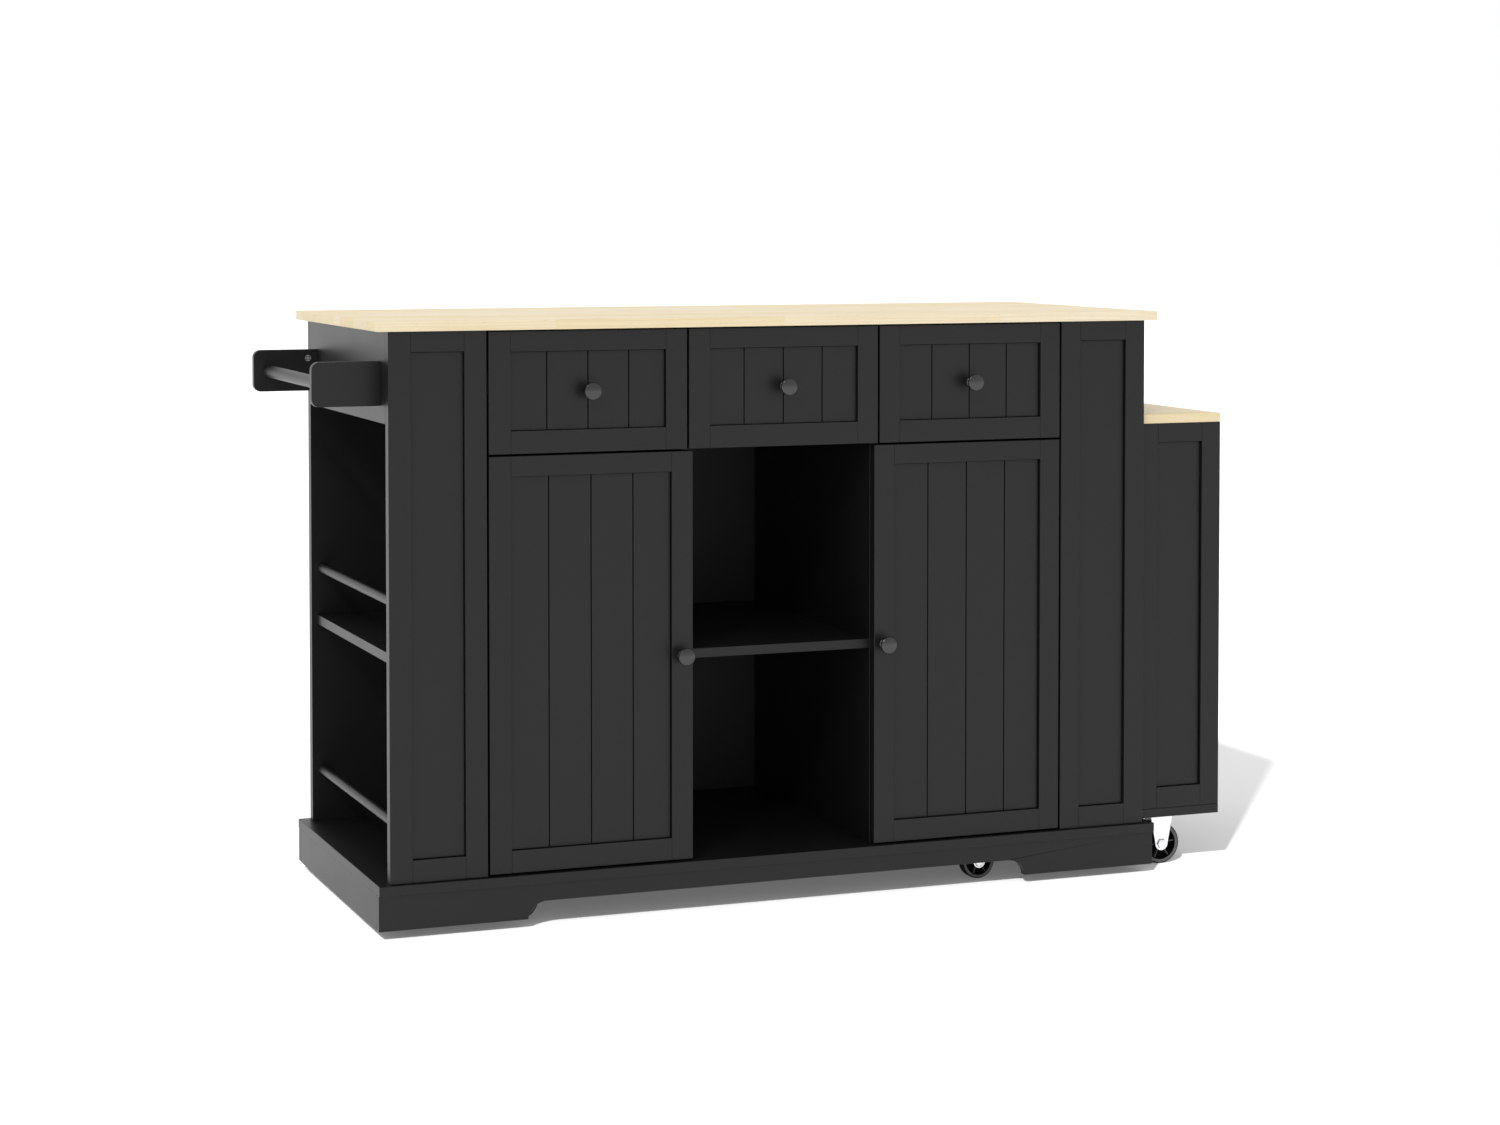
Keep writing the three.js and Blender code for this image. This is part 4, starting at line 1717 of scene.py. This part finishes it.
@dataclass
class Caster(SubAssembly):
    """What a swivel caster and a fixed one share: a pressed fork, the wheel's bolt and a plate."""

    gap: float = 10.5 * MM
    gauge: float = 2.0 * MM
    tip: float = 10.4 * MM
    crown: float = 18 * MM
    crown_corner: float = 1.4 * MM
    shoulder: float = 7 * MM
    arc_steps: int = 12
    cheek_arris: float = 0.5 * MM
    arris: float = 0.4 * MM
    axle_radius: float = 3 * MM
    axle_chamfer: float = 0.2 * MM
    bolt_radius: float = 8.4 * MM
    bolt_height: float = 3.2 * MM
    plate_size: Point = (58 * MM, 48 * MM)
    plate_thickness: float = 2.5 * MM
    plate_corner: float = 6 * MM
    screw_inset: Point = (8 * MM, 7 * MM)
    screw: Screw = Screw(radius=4.2 * MM, rise=1.8 * MM)

    @property
    def outside(self) -> float:
        """How far the fork's outer faces lie from its middle."""
        return self.gap + self.gauge

    def cheeks(self, axle: Vector, mount: float, top: float) -> Form:
        """The fork's two cheeks. They are broadest at the top and taper past a shoulder to a round tip.

        Args:
            axle: the middle of the axle.
            mount: the middle of the crown, on X.
            top: the cheeks' top, on Z.

        Returns:
            Both cheeks.
        """
        left, right = mount - self.crown, mount + self.crown
        outline = [(right, top), (left, top)]
        if self.shoulder:
            outline.append((left, top - self.shoulder))
        for step in range(self.arc_steps + 1):
            angle = math.pi * (1 + step / self.arc_steps)
            outline.append((axle.x + self.tip * math.cos(angle), axle.z + self.tip * math.sin(angle)))
        if self.shoulder:
            outline.append((right, top - self.shoulder))
        return Form.gathered(
            Form.plate(outline, Axis.Y, axle.y + start, self.gauge).rounded(self.cheek_arris, 2)
            for start in (-self.outside, self.gap)
        )

    def bolt(self, axle: Vector) -> Form:
        """The wheel's bolt, with a broad flat head on one side and a nut on the other.

        Args:
            axle: the middle of the axle.

        Returns:
            The bolt.
        """
        left, right = (axle.x, axle.y - self.outside, axle.z), (axle.x, axle.y + self.outside, axle.z)
        head = (axle.x, axle.y - self.outside - self.bolt_height, axle.z)
        return Form.gathered(
            [
                Form.bar(self.axle_radius, Axis.Y, left, 2 * self.outside, self.axle_chamfer, 20),
                hexagon(self.bolt_radius, Axis.Y, head, self.bolt_height),
                hexagon(self.bolt_radius, Axis.Y, right, self.bolt_height),
            ]
        )

    def crown_plate(self, mount: Vector, top: float) -> Form:
        """The flat of the fork that joins its cheeks.

        Args:
            mount: its middle, on X and Y.
            top: its upper face, on Z.

        Returns:
            The flat.
        """
        bottom = top - self.gauge - self.cheek_arris
        low = (mount.x - self.crown, mount.y - self.outside, bottom)
        high = (mount.x + self.crown, mount.y + self.outside, top)
        return Form.block(low, high).rounded(self.crown_corner, 3, along=Axis.X).rounded(self.arris, 1)

    def mounting_plate(self, mount: Vector, top: float) -> Form:
        """A plate with round corners and four screws.

        Args:
            mount: its middle, on X and Y.
            top: its upper face, on Z.

        Returns:
            The plate with its screws.
        """
        bottom = top - self.plate_thickness
        half_x, half_y = (size / 2 for size in self.plate_size)
        inset_x, inset_y = self.screw_inset
        plate = Form.block(
            (mount.x - half_x, mount.y - half_y, bottom), (mount.x + half_x, mount.y + half_y, top)
        )
        plate.rounded(self.plate_corner, 5, along=Axis.Z).rounded(self.arris, 1)
        for x in (inset_x - half_x, half_x - inset_x):
            for y in (inset_y - half_y, half_y - inset_y):
                plate.joined(self.screw.form((mount.x + x, mount.y + y, bottom), Axis.Z, -1))
        return plate


@dataclass
class SwivelCaster(Caster):
    """A caster whose fork turns on a bearing cup under its plate, with the wheel trailing."""

    place: str = "front_left"
    trail: float = 22 * MM
    race: tuple[Point, ...] = (
        (0.0, -0.4 * MM), (19.5 * MM, -0.4 * MM), (20.5 * MM, 0.0), (20.5 * MM, 0.5 * MM), (0.0, 0.5 * MM)
    )
    clear: float = 0.5 * MM
    cup_height: float = 7 * MM
    cup_radius: float = 20.6 * MM
    cup_foot: float = 15 * MM
    cup_bulge: tuple[Point, Point] = ((19.5 * MM, 0.0), (20.6 * MM, 3.4 * MM))
    cup_rim: float = 0.8 * MM
    crown_overlap: float = 1 * MM
    rivet_radius: float = 5 * MM
    rivet_length: float = 3 * MM
    rivet_chamfer: float = 0.8 * MM
    rivet_drop: float = 5.2 * MM
    round_steps: int = 40

    def cup_profile(self, bottom: float, top: float) -> list[Point]:
        """The bearing cup's section, from the middle of its bottom to the middle of its top.

        Args:
            bottom: the height of its bottom.
            top: the height of its top.

        Returns:
            Pairs of radius and height.
        """
        foot = (self.cup_foot, bottom)
        control, end = ((radius, bottom + height) for radius, height in self.cup_bulge)
        points = [(0.0, bottom), foot, *curve(foot, control, end, 5)]
        points += [(self.cup_radius, top - self.cup_rim), (self.cup_radius - self.cup_rim, top), (0.0, top)]
        return points

    def build(self) -> None:
        """Makes the caster."""
        name = f"caster_{self.place}"
        axle = middle_of(f"{name}_wheel")
        mount = Vector((axle.x + self.trail, axle.y, 0.0))
        board = plinth_underside()
        under = board - self.plate_thickness
        race = Form.turned(self.race, Axis.Z, (mount.x, mount.y, under), self.round_steps)
        self.steel(f"{name}_plate", [self.mounting_plate(mount, board), race], "root")

        cup_top = under - self.clear
        cup_bottom = cup_top - self.cup_height
        top = cup_bottom + self.crown_overlap
        rivet = (mount.x, mount.y, top - self.rivet_drop)
        fork = [
            self.cheeks(axle, mount.x, top),
            self.crown_plate(mount, top),
            Form.turned(self.cup_profile(cup_bottom, cup_top), Axis.Z, mount, self.round_steps),
            Form.bar(self.rivet_radius, Axis.Z, rivet, self.rivet_length, self.rivet_chamfer, 24),
            self.bolt(axle),
        ]
        self.steel(f"{name}_yoke", fork, name, [f"{name}_fork"])
        CasterWheel().build(f"wheel_{self.place}", f"{name}_wheel", f"wheel_{self.place}")


@dataclass
class FixedCaster(Caster):
    """A caster under the pull-out table's leg. It doesn't turn to the side."""

    place: str = "front"
    crown: float = 21 * MM
    shoulder: float = 0.0
    tip: float = 11.5 * MM
    plate_size: Point = (60 * MM, 46 * MM)
    overlap: float = 0.4 * MM

    def build(self) -> None:
        """Makes the caster."""
        node, wheel_node = f"leg_{self.place}_fork", f"leg_{self.place}_wheel"
        axle = middle_of(wheel_node)
        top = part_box(node)[1].z
        crown_top = top - self.plate_thickness + self.overlap
        fork = [self.mounting_plate(axle, top), self.crown_plate(axle, crown_top)]
        fork += [self.cheeks(axle, axle.x, crown_top), self.bolt(axle)]
        self.steel(f"leg_{self.place}_yoke", fork, "pull_out_table", [node])
        CasterWheel().build(f"leg_wheel_{self.place}", wheel_node, f"leg_wheel_{self.place}")


def plinth_underside() -> float:
    """The height of the bottom board's underside, which the plinth boards reach."""
    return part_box("plinth_front")[1].z


@dataclass
class BottomBoard(SubAssembly):
    """The board under the cabinet, which carries the casters' plates."""

    arris: float = 1.0 * MM

    def build(self) -> None:
        """Makes the board."""
        low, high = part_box("base_plate")
        board = Form.block((low.x, low.y, plinth_underside()), high, self.arris)
        self.piece("bottom_board", board, "root", Slot.PAINT, self.palette.paint, ["base_plate"])


# -------- towel rail


@dataclass
class TowelRailFixings(SubAssembly):
    """The bright cross dowels in the towel rail's arms, and the bolts that pull on them."""

    from_apron: float = 15.3 * MM
    heights: tuple[float, float] = (14 * MM, 53 * MM)
    dowel_radius: float = 4.9 * MM
    proud: float = 0.45 * MM
    rim: float = 0.8 * MM
    bar: float = 1.7 * MM
    bar_arris: float = 0.15 * MM
    # the black disc of painted shade in each bore is twice this thick
    shade_disc_half_thickness: float = 0.15 * MM
    bolt_radius: float = 5.4 * MM
    bolt_height: float = 3.4 * MM

    def dowel(self, at: Point) -> Form:
        """A dowel's end: a thin rim and the cross inside it, a little proud of the arm.

        Args:
            at: the middle of the end, on the arm's face.

        Returns:
            The end.
        """
        x, y, z = at
        half, reach, proud = self.bar / 2, self.dowel_radius - self.rim / 2, self.proud
        inner, outer = self.dowel_radius - self.rim, self.dowel_radius
        rim = Form.ring(inner, outer, Axis.Y, (x, y - proud, z), 2 * proud)
        arms = [
            Form.block((x - dx, y - proud, z - dz), (x + dx, y + proud, z + dz), self.bar_arris, 1)
            for dx, dz in ((half, reach), (reach, half))
        ]
        return rim.joined(*arms)

    def build(self) -> None:
        """Makes the dowels, a black disc of painted shade for each bore, and the bolts."""
        dowels, bore_shades, bolts = [], [], []
        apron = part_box("rack_apron")[1].x
        for place in ("front", "back"):
            low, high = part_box(f"towel_bracket_{place}")
            face = high.y if place == "front" else low.y
            middle = (low.y + high.y) / 2
            for height in self.heights:
                x, z = high.x - self.from_apron, low.z + height
                dowels.append(self.dowel((x, face, z)))
                # A black disc flush with the arm is painted shade for the bore round the dowel's cross.
                start = (x, face - self.shade_disc_half_thickness, z)
                bore_shades.append(Form.bar(self.dowel_radius, Axis.Y, start, 2 * self.shade_disc_half_thickness))
                bolts.append(hexagon(self.bolt_radius, Axis.X, (apron, middle, z), self.bolt_height))
        self.steel("towel_rail_dowels", dowels, "root")
        self.piece("towel_rail_bores", Form.gathered(bore_shades), "root", Slot.PAINT, self.palette.wheel)
        self.steel("towel_rail_bolts", bolts, "root")


# -------- drop leaf


@dataclass
class PianoHinge(SubAssembly):
    """The leaf's hinge: a fixed flap with every second knuckle, and a moving flap with the others."""

    knuckle: float = 3 * MM
    knuckle_length: float = 19 * MM
    knuckle_gap: float = 0.4 * MM
    knuckle_chamfer: float = 0.3 * MM
    flap: float = 1.2 * MM
    flap_height: float = 22 * MM
    flap_inset: float = 0.5 * MM
    flap_arris: float = 0.2 * MM
    screw_pitch: float = 94 * MM
    screw_share: float = 0.36
    screw: Screw = Screw(radius=3.0 * MM, rise=0.7 * MM)

    def flap_of(self, axis: Vector, length: float, faces: Sequence[float], outwards: int) -> Form:
        """A flap with its row of screws.

        Args:
            axis: the left end of the hinge line.
            length: the hinge's length.
            faces: the flap's front and back, on Y.
            outwards: 1 where the screws' heads look to the back, and -1 to the front.

        Returns:
            The flap.
        """
        bottom = axis.z - self.flap_height
        start, end = axis.x + self.flap_inset, axis.x + length - self.flap_inset
        flap = Form.block((start, faces[0], bottom), (end, faces[1], axis.z), self.flap_arris, 1)
        seat = faces[1] if outwards > 0 else faces[0]
        count = int(length / self.screw_pitch)
        height = bottom + self.screw_share * self.flap_height
        for number in range(count):
            x = axis.x + (number + 0.5) * length / count
            flap.joined(self.screw.form((x, seat, height), Axis.Y, outwards))
        return flap

    def build(self, axis: Vector, length: float, inner: float) -> None:
        """Makes the hinge.

        Args:
            axis: the left end of the hinge line.
            length: the hinge's length.
            inner: the leaf's inner face, on Y.
        """
        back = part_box("rack_back_board")[1].y
        fixed = self.flap_of(axis, length, (back, back + self.flap), 1)
        moving = self.flap_of(axis, length, (inner - self.flap, inner), -1)
        count = round(length / self.knuckle_length)
        pitch = length / count
        for number in range(count):
            start = (axis.x + number * pitch + self.knuckle_gap / 2, axis.y, axis.z)
            size = pitch - self.knuckle_gap
            knuckle = Form.bar(self.knuckle, Axis.X, start, size, self.knuckle_chamfer, 14)
            (moving if number % 2 else fixed).joined(knuckle)
        self.steel("leaf_hinge_fixed_flap", [fixed], "root")
        self.steel("leaf_hinge_moving_flap", [moving], "drop_leaf")


@dataclass
class LeafStay(SubAssembly):
    """A stay that holds the leaf up: a rod with two eyes, the lug on the leaf that carries it, and the
    slotted track on the cabinet's back in which its foot runs."""

    side: str = "left"

    # The rod, its eyes and the stud at its foot
    eye: float = 3.75 * MM
    hole: float = 1.8 * MM
    half_eye: float = 1.5 * MM
    foot_eye_chamfer: float = 0.4 * MM
    rod: float = 2.5 * MM
    rod_chamfer: float = 0.5 * MM
    rod_overlap: float = 0.4 * MM
    stud: float = 1.4 * MM
    stud_length: float = 5 * MM
    stud_head: float = 2.4 * MM
    stud_head_length: float = 1.4 * MM
    stud_from: float = 6.2 * MM
    stud_head_from: float = 6.6 * MM

    # The lug, its foot on the leaf and its pin
    lug_from: float = 3 * MM
    lug: float = 2 * MM
    lug_reach: float = 2.5 * MM
    half_lug: float = 6 * MM
    lug_corner: float = 2 * MM
    foot: float = 1.2 * MM
    foot_length: float = 24 * MM
    half_foot: float = 7 * MM
    foot_corner: float = 3 * MM
    foot_screws: tuple[float, float] = (9 * MM, 18 * MM)
    pin: float = 1.5 * MM
    pin_overlap: float = 0.6 * MM
    pin_proud: float = 0.5 * MM
    foot_screw: Screw = Screw(radius=2.8 * MM, rise=1.1 * MM)

    # The track: a web against the cabinet's back, and a fence with the slot
    web: float = 1.2 * MM
    web_from: float = 20 * MM
    fence_from: float = 3.2 * MM
    fence: float = 1.2 * MM
    fence_reach: float = 3.4 * MM
    half_slot: float = 1.9 * MM
    below_foot: float = 7 * MM
    above_foot: float = 153 * MM
    slot_end: float = 3 * MM
    track_screws: tuple[float, ...] = (0.1, 0.5, 0.9)
    track_screw: Screw = Screw(radius=3.4 * MM, rise=1.6 * MM)
    arris: float = 0.2 * MM
    lug_arris: float = 0.3 * MM

    def build(self, inner: float) -> None:
        """Makes the stay with its lug and its track.

        Args:
            inner: the leaf's inner face, on Y.
        """
        node = f"leaf_stay_{self.side}"
        low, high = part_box(node)
        middle = middle_of(node)
        upper = Vector((middle.x, middle.y, high.z - self.eye))
        lower = Vector((middle.x, middle.y, low.z + self.eye))
        self.steel(f"{node}_rod", self.rod_forms(upper, lower), node, [node])
        self.steel(f"leaf_lug_{self.side}", self.lug_forms(upper, inner), "drop_leaf")
        self.steel(f"leaf_track_{self.side}", self.track_forms(lower), "root")

    def rod_forms(self, upper: Vector, lower: Vector) -> list[Form]:
        """The rod, its eyes and the stud with a head that runs in the track.

        Args:
            upper: the middle of the upper eye.
            lower: the middle of the lower eye.

        Returns:
            The parts.
        """
        x, y, _ = upper
        bottom = lower.z + self.eye - self.rod_overlap
        length = upper.z - self.eye + self.rod_overlap - bottom
        eyes, width = x - self.half_eye, 2 * self.half_eye
        stud, head = x - self.stud_from, x - self.stud_head_from
        return [
            Form.bar(self.rod, Axis.Z, (x, y, bottom), length, self.rod_chamfer, 20),
            Form.ring(self.hole, self.eye, Axis.X, (eyes, y, upper.z), width, 24),
            Form.bar(self.eye, Axis.X, (eyes, y, lower.z), width, self.foot_eye_chamfer, 24),
            Form.bar(self.stud, Axis.X, (stud, y, lower.z), self.stud_length, self.arris, 16),
            Form.bar(self.stud_head, Axis.X, (head, y, lower.z), self.stud_head_length, self.arris, 16),
        ]

    def lug_forms(self, upper: Vector, inner: float) -> list[Form]:
        """The lug beside the upper eye, its foot on the leaf and the pin through the eye.

        Args:
            upper: the middle of the upper eye.
            inner: the leaf's inner face, on Y.

        Returns:
            The parts.
        """
        x, y, z = upper
        start = x + self.lug_from
        lug = Form.block(
            (start, y - self.lug_reach, z - self.half_lug), (start + self.lug, inner, z + self.half_lug)
        )
        lug.rounded(self.lug_corner, 4, along=Axis.X).rounded(self.lug_arris, 1)
        seat = inner - self.foot
        foot = Form.block(
            (start, seat, z - self.half_foot), (start + self.foot_length, inner, z + self.half_foot)
        )
        foot.rounded(self.foot_corner, 4, along=Axis.Y).rounded(self.lug_arris, 1)
        pin_start = x - self.half_eye - self.pin_proud
        pin_length = start + self.pin_overlap - pin_start
        pin = Form.bar(self.pin, Axis.X, (pin_start, y, z), pin_length, self.arris, 16)
        heads = [self.foot_screw.form((start + along, seat, z), Axis.Y, -1) for along in self.foot_screws]
        return [lug, foot, pin, *heads]

    def track_forms(self, lower: Vector) -> list[Form]:
        """The angle on the cabinet's back in whose slot the stay's foot runs.

        Args:
            lower: the middle of the lower eye while the leaf hangs.

        Returns:
            The parts.
        """
        x, y, z = lower
        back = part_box("back_panel")[1].y
        bottom, top = z - self.below_foot, z + self.above_foot
        outer, right = y + self.fence_reach, x - self.fence_from
        left = right - self.fence
        fence = [
            (back, bottom, y - self.half_slot, top),
            (y + self.half_slot, bottom, outer, top),
            (back, bottom, outer, bottom + self.slot_end),
            (back, top - self.slot_end, outer, top),
        ]
        seat = back + self.web
        parts = [Form.block((x - self.web_from, back, bottom), (right, seat, top), self.arris, 1)]
        for front, low, rear, high in fence:
            parts.append(Form.block((left, front, low), (right, rear, high), self.arris, 1))
        middle = (x - self.web_from + left) / 2
        heights = [bottom + share * (top - bottom) for share in self.track_screws]
        return parts + [self.track_screw.form((middle, seat, height), Axis.Y) for height in heights]


@dataclass
class DropLeaf(SubAssembly):
    """The leaf behind the cabinet: its board, a piano hinge, and a stay at each end."""

    thickness: float = 15 * MM
    arris: float = 1.4 * MM
    axis_y: float = 4 * MM
    axis_z: float = 2 * MM

    def build(self) -> None:
        """Makes the leaf and all that it hangs on."""
        low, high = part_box("drop_leaf")
        inner = high.y - self.thickness
        board = Form.block((low.x, inner, low.z), high, self.arris, 3)
        wood = ButcherBlock("butcher_block_leaf", across=Axis.Z, level=(inner + high.y) / 2)
        self.piece("leaf_board", board, "drop_leaf", Slot.WOOD, wood, ["drop_leaf"])
        axis = Vector((low.x, inner - self.axis_y, high.z - self.axis_z))
        PianoHinge().build(axis, high.x - low.x, inner)
        for side in ("left", "right"):
            LeafStay(side=side).build(inner)


@dataclass
class BackFixings(SubAssembly):
    """The small screws round the edge and along the partitions of the back panel."""

    inset: float = 7 * MM
    pitch: float = 150 * MM
    screw: Screw = Screw(radius=2.8 * MM, rise=1.1 * MM)

    def build(self) -> None:
        """Makes the screws."""
        low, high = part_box("back_panel")
        lines = [low.x + self.inset, high.x - self.inset]
        lines += [middle_of(node).x for node in ("partition_left", "partition_right")]
        rows = int((high.z - low.z) / self.pitch)
        span = high.z - low.z - 2 * self.inset
        heights = [low.z + self.inset + span * row / rows for row in range(rows)]
        heads = [self.screw.form((x, high.y, z), Axis.Y) for x in lines for z in heights]
        self.steel("back_panel_screws", heads, "root")


# -------- pull-out table


@dataclass
class TableLeg(SubAssembly):
    """The box that carries the pull-out table's end: three framed faces on a bottom board."""

    batten: float = 18 * MM
    arris: float = 0.8 * MM

    def build(self) -> None:
        """Makes the leg's faces and the battens in its corners."""
        body = "pull_out_table"
        face = FramedFace()
        face.build("leg_front_panel", "leg_front_face", body)
        face.build("leg_back_panel", "leg_back_face", body, Facing.BACK)
        face.build("leg_side_panel", "leg_side_face", body, Facing.RIGHT)
        low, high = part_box("leg_side_panel")
        battens = [
            Form.block((low.x - self.batten, y, low.z), (low.x, y + self.batten, high.z), self.arris)
            for y in (low.y, high.y - self.batten)
        ]
        self.piece("leg_battens", Form.gathered(battens), body, Slot.PAINT, self.palette.paint)


# -------- studio


@dataclass
class Studio:
    """The camera, the light and the white floor.

    The key light comes from high on the front left. Its shift is how far a shadow falls to the right and to
    the back, for each metre of height. The floor has a lamp of its own in the same direction, so that it
    turns white while the island keeps its tones.
    """

    # The camera: its place, turn to the right and down, lens in millimetres, shift and reach
    eye: Point = (-1.7683, -4.6014, 1.0934)
    yaw: float = 21.234
    pitch: float = 2.186
    lens: float = 72.178
    rise: float = -0.16
    sight: float = 200.0

    # The light all round, and how much more of it gloss sees at the back and overhead
    ambient: float = 0.92
    gloss_behind: float = 0.25
    gloss_above: float = -0.50

    # The lamps
    key: float = 0.5
    floor_key: float = 4.2
    key_shift: Point = (0.79, 1.03)
    key_spread: float = 2.6

    # The floor: its grey where it lights the island and where it is seen, and its own glow
    floor_light: float = 0.52
    floor_seen: float = 0.76
    floor_glow: float = 0.12
    floor_reach: float = 40.0

    def build(self) -> None:
        """Sets up the picture."""
        self.add_camera()
        self.add_world()
        self.add_sun("key", self.key)
        floor = self.add_floor()
        lit = bpy.data.collections.new("lit_by_floor_key")
        lit.objects.link(floor)
        self.add_sun("floor_key", self.floor_key).light_linking.receiver_collection = lit
        bpy.context.scene.view_settings.view_transform = "Standard"

    def add_camera(self) -> None:
        """Puts the camera where the photograph was taken from."""
        data = bpy.data.cameras.new("camera")
        data.lens = self.lens
        data.shift_y = self.rise
        data.clip_end = self.sight
        camera = added("camera", data)
        camera.location = self.eye
        camera.rotation_euler = (math.radians(90 - self.pitch), 0.0, math.radians(-self.yaw))
        bpy.context.scene.camera = camera

    def add_world(self) -> None:
        """Surrounds the island with a plain light that looks white. In gloss it is a little brighter at the
        back and dimmer overhead."""
        world = bpy.data.worlds.new("studio")
        world.use_nodes = True
        bpy.context.scene.world = world
        recipe = Recipe(world.node_tree)
        seen = recipe.ray("Camera", "Transmission") * (1.0 - self.ambient)
        _, y, z = recipe.split(recipe.node("ShaderNodeTexCoord", output="Generated"))
        behind = y.apply("MAXIMUM", 0.0) * self.gloss_behind
        above = z.apply("MAXIMUM", 0.0) * self.gloss_above
        gloss = recipe.ray("Glossy") * (behind + above + (1.0 - self.ambient))
        sockets = {"Color": WHITE, "Strength": self.ambient + seen + gloss}
        light = recipe.node("ShaderNodeBackground", None, sockets)
        recipe.node("ShaderNodeOutputWorld", None, {"Surface": light})

    def add_sun(self, name: str, strength: float) -> bpy.types.Object:
        """Hangs a distant lamp in the direction of the shadows.

        Args:
            name: its name.
            strength: its strength.

        Returns:
            The lamp.
        """
        data = bpy.data.lights.new(name, "SUN")
        data.energy = strength
        data.angle = math.radians(self.key_spread)
        lamp = added(name, data)
        lamp.rotation_euler = Vector((*self.key_shift, -1.0)).to_track_quat("-Z", "Y").to_euler()
        return lamp

    def add_floor(self) -> bpy.types.Object:
        """Lays a floor that is white to the eye and keeps the island's shadow.

        Returns:
            The floor.
        """
        form = Form()
        bmesh.ops.create_grid(form.bm, x_segments=1, y_segments=1, size=self.floor_reach)
        mesh = form.mesh("floor")
        mesh.materials.append(self.floor_material())
        floor = added("floor", mesh)
        return floor

    def floor_material(self) -> bpy.types.Material:
        """The floor's finish: matt, with a faint glow towards the eye.

        Returns:
            The material.
        """
        material = bpy.data.materials.new("white_floor")
        material.use_nodes = True
        recipe = Recipe(material.node_tree)
        seen = recipe.ray("Camera", "Glossy", "Transmission")
        level = self.floor_light + seen * (self.floor_seen - self.floor_light)
        matt = recipe.node("ShaderNodeBsdfDiffuse", None, {"Color": recipe.join(level, level, level)})
        sockets = {"Color": WHITE, "Strength": seen * self.floor_glow}
        glow = recipe.node("ShaderNodeEmission", None, sockets)
        both = recipe.node("ShaderNodeAddShader", None, {0: matt, 1: glow})
        recipe.node("ShaderNodeOutputMaterial", None, {"Surface": both})
        return material


def main() -> None:
    """Builds the studio and the island."""
    logging.basicConfig(level=logging.INFO, format="%(message)s")
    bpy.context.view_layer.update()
    Studio().build()
    Boards().build()
    BottomBoard().build()
    for side in ("left", "right"):
        FramedFace().build(f"end_panel_{side}", f"end_face_{side}", "root")
    for place in ("left", "middle", "right"):
        Drawer(place=place).build()
    HingeBatten().build()
    for hand in Hand:
        Door(hand=hand).build()
    CupboardShelves().build()
    TowelRailFixings().build()
    for place in ("front_left", "front_right", "back_left", "back_right"):
        SwivelCaster(place=place).build()
    TableLeg().build()
    for place in ("front", "back"):
        FixedCaster(place=place).build()
    DropLeaf().build()
    BackFixings().build()


if __name__ == "__main__":
    main()
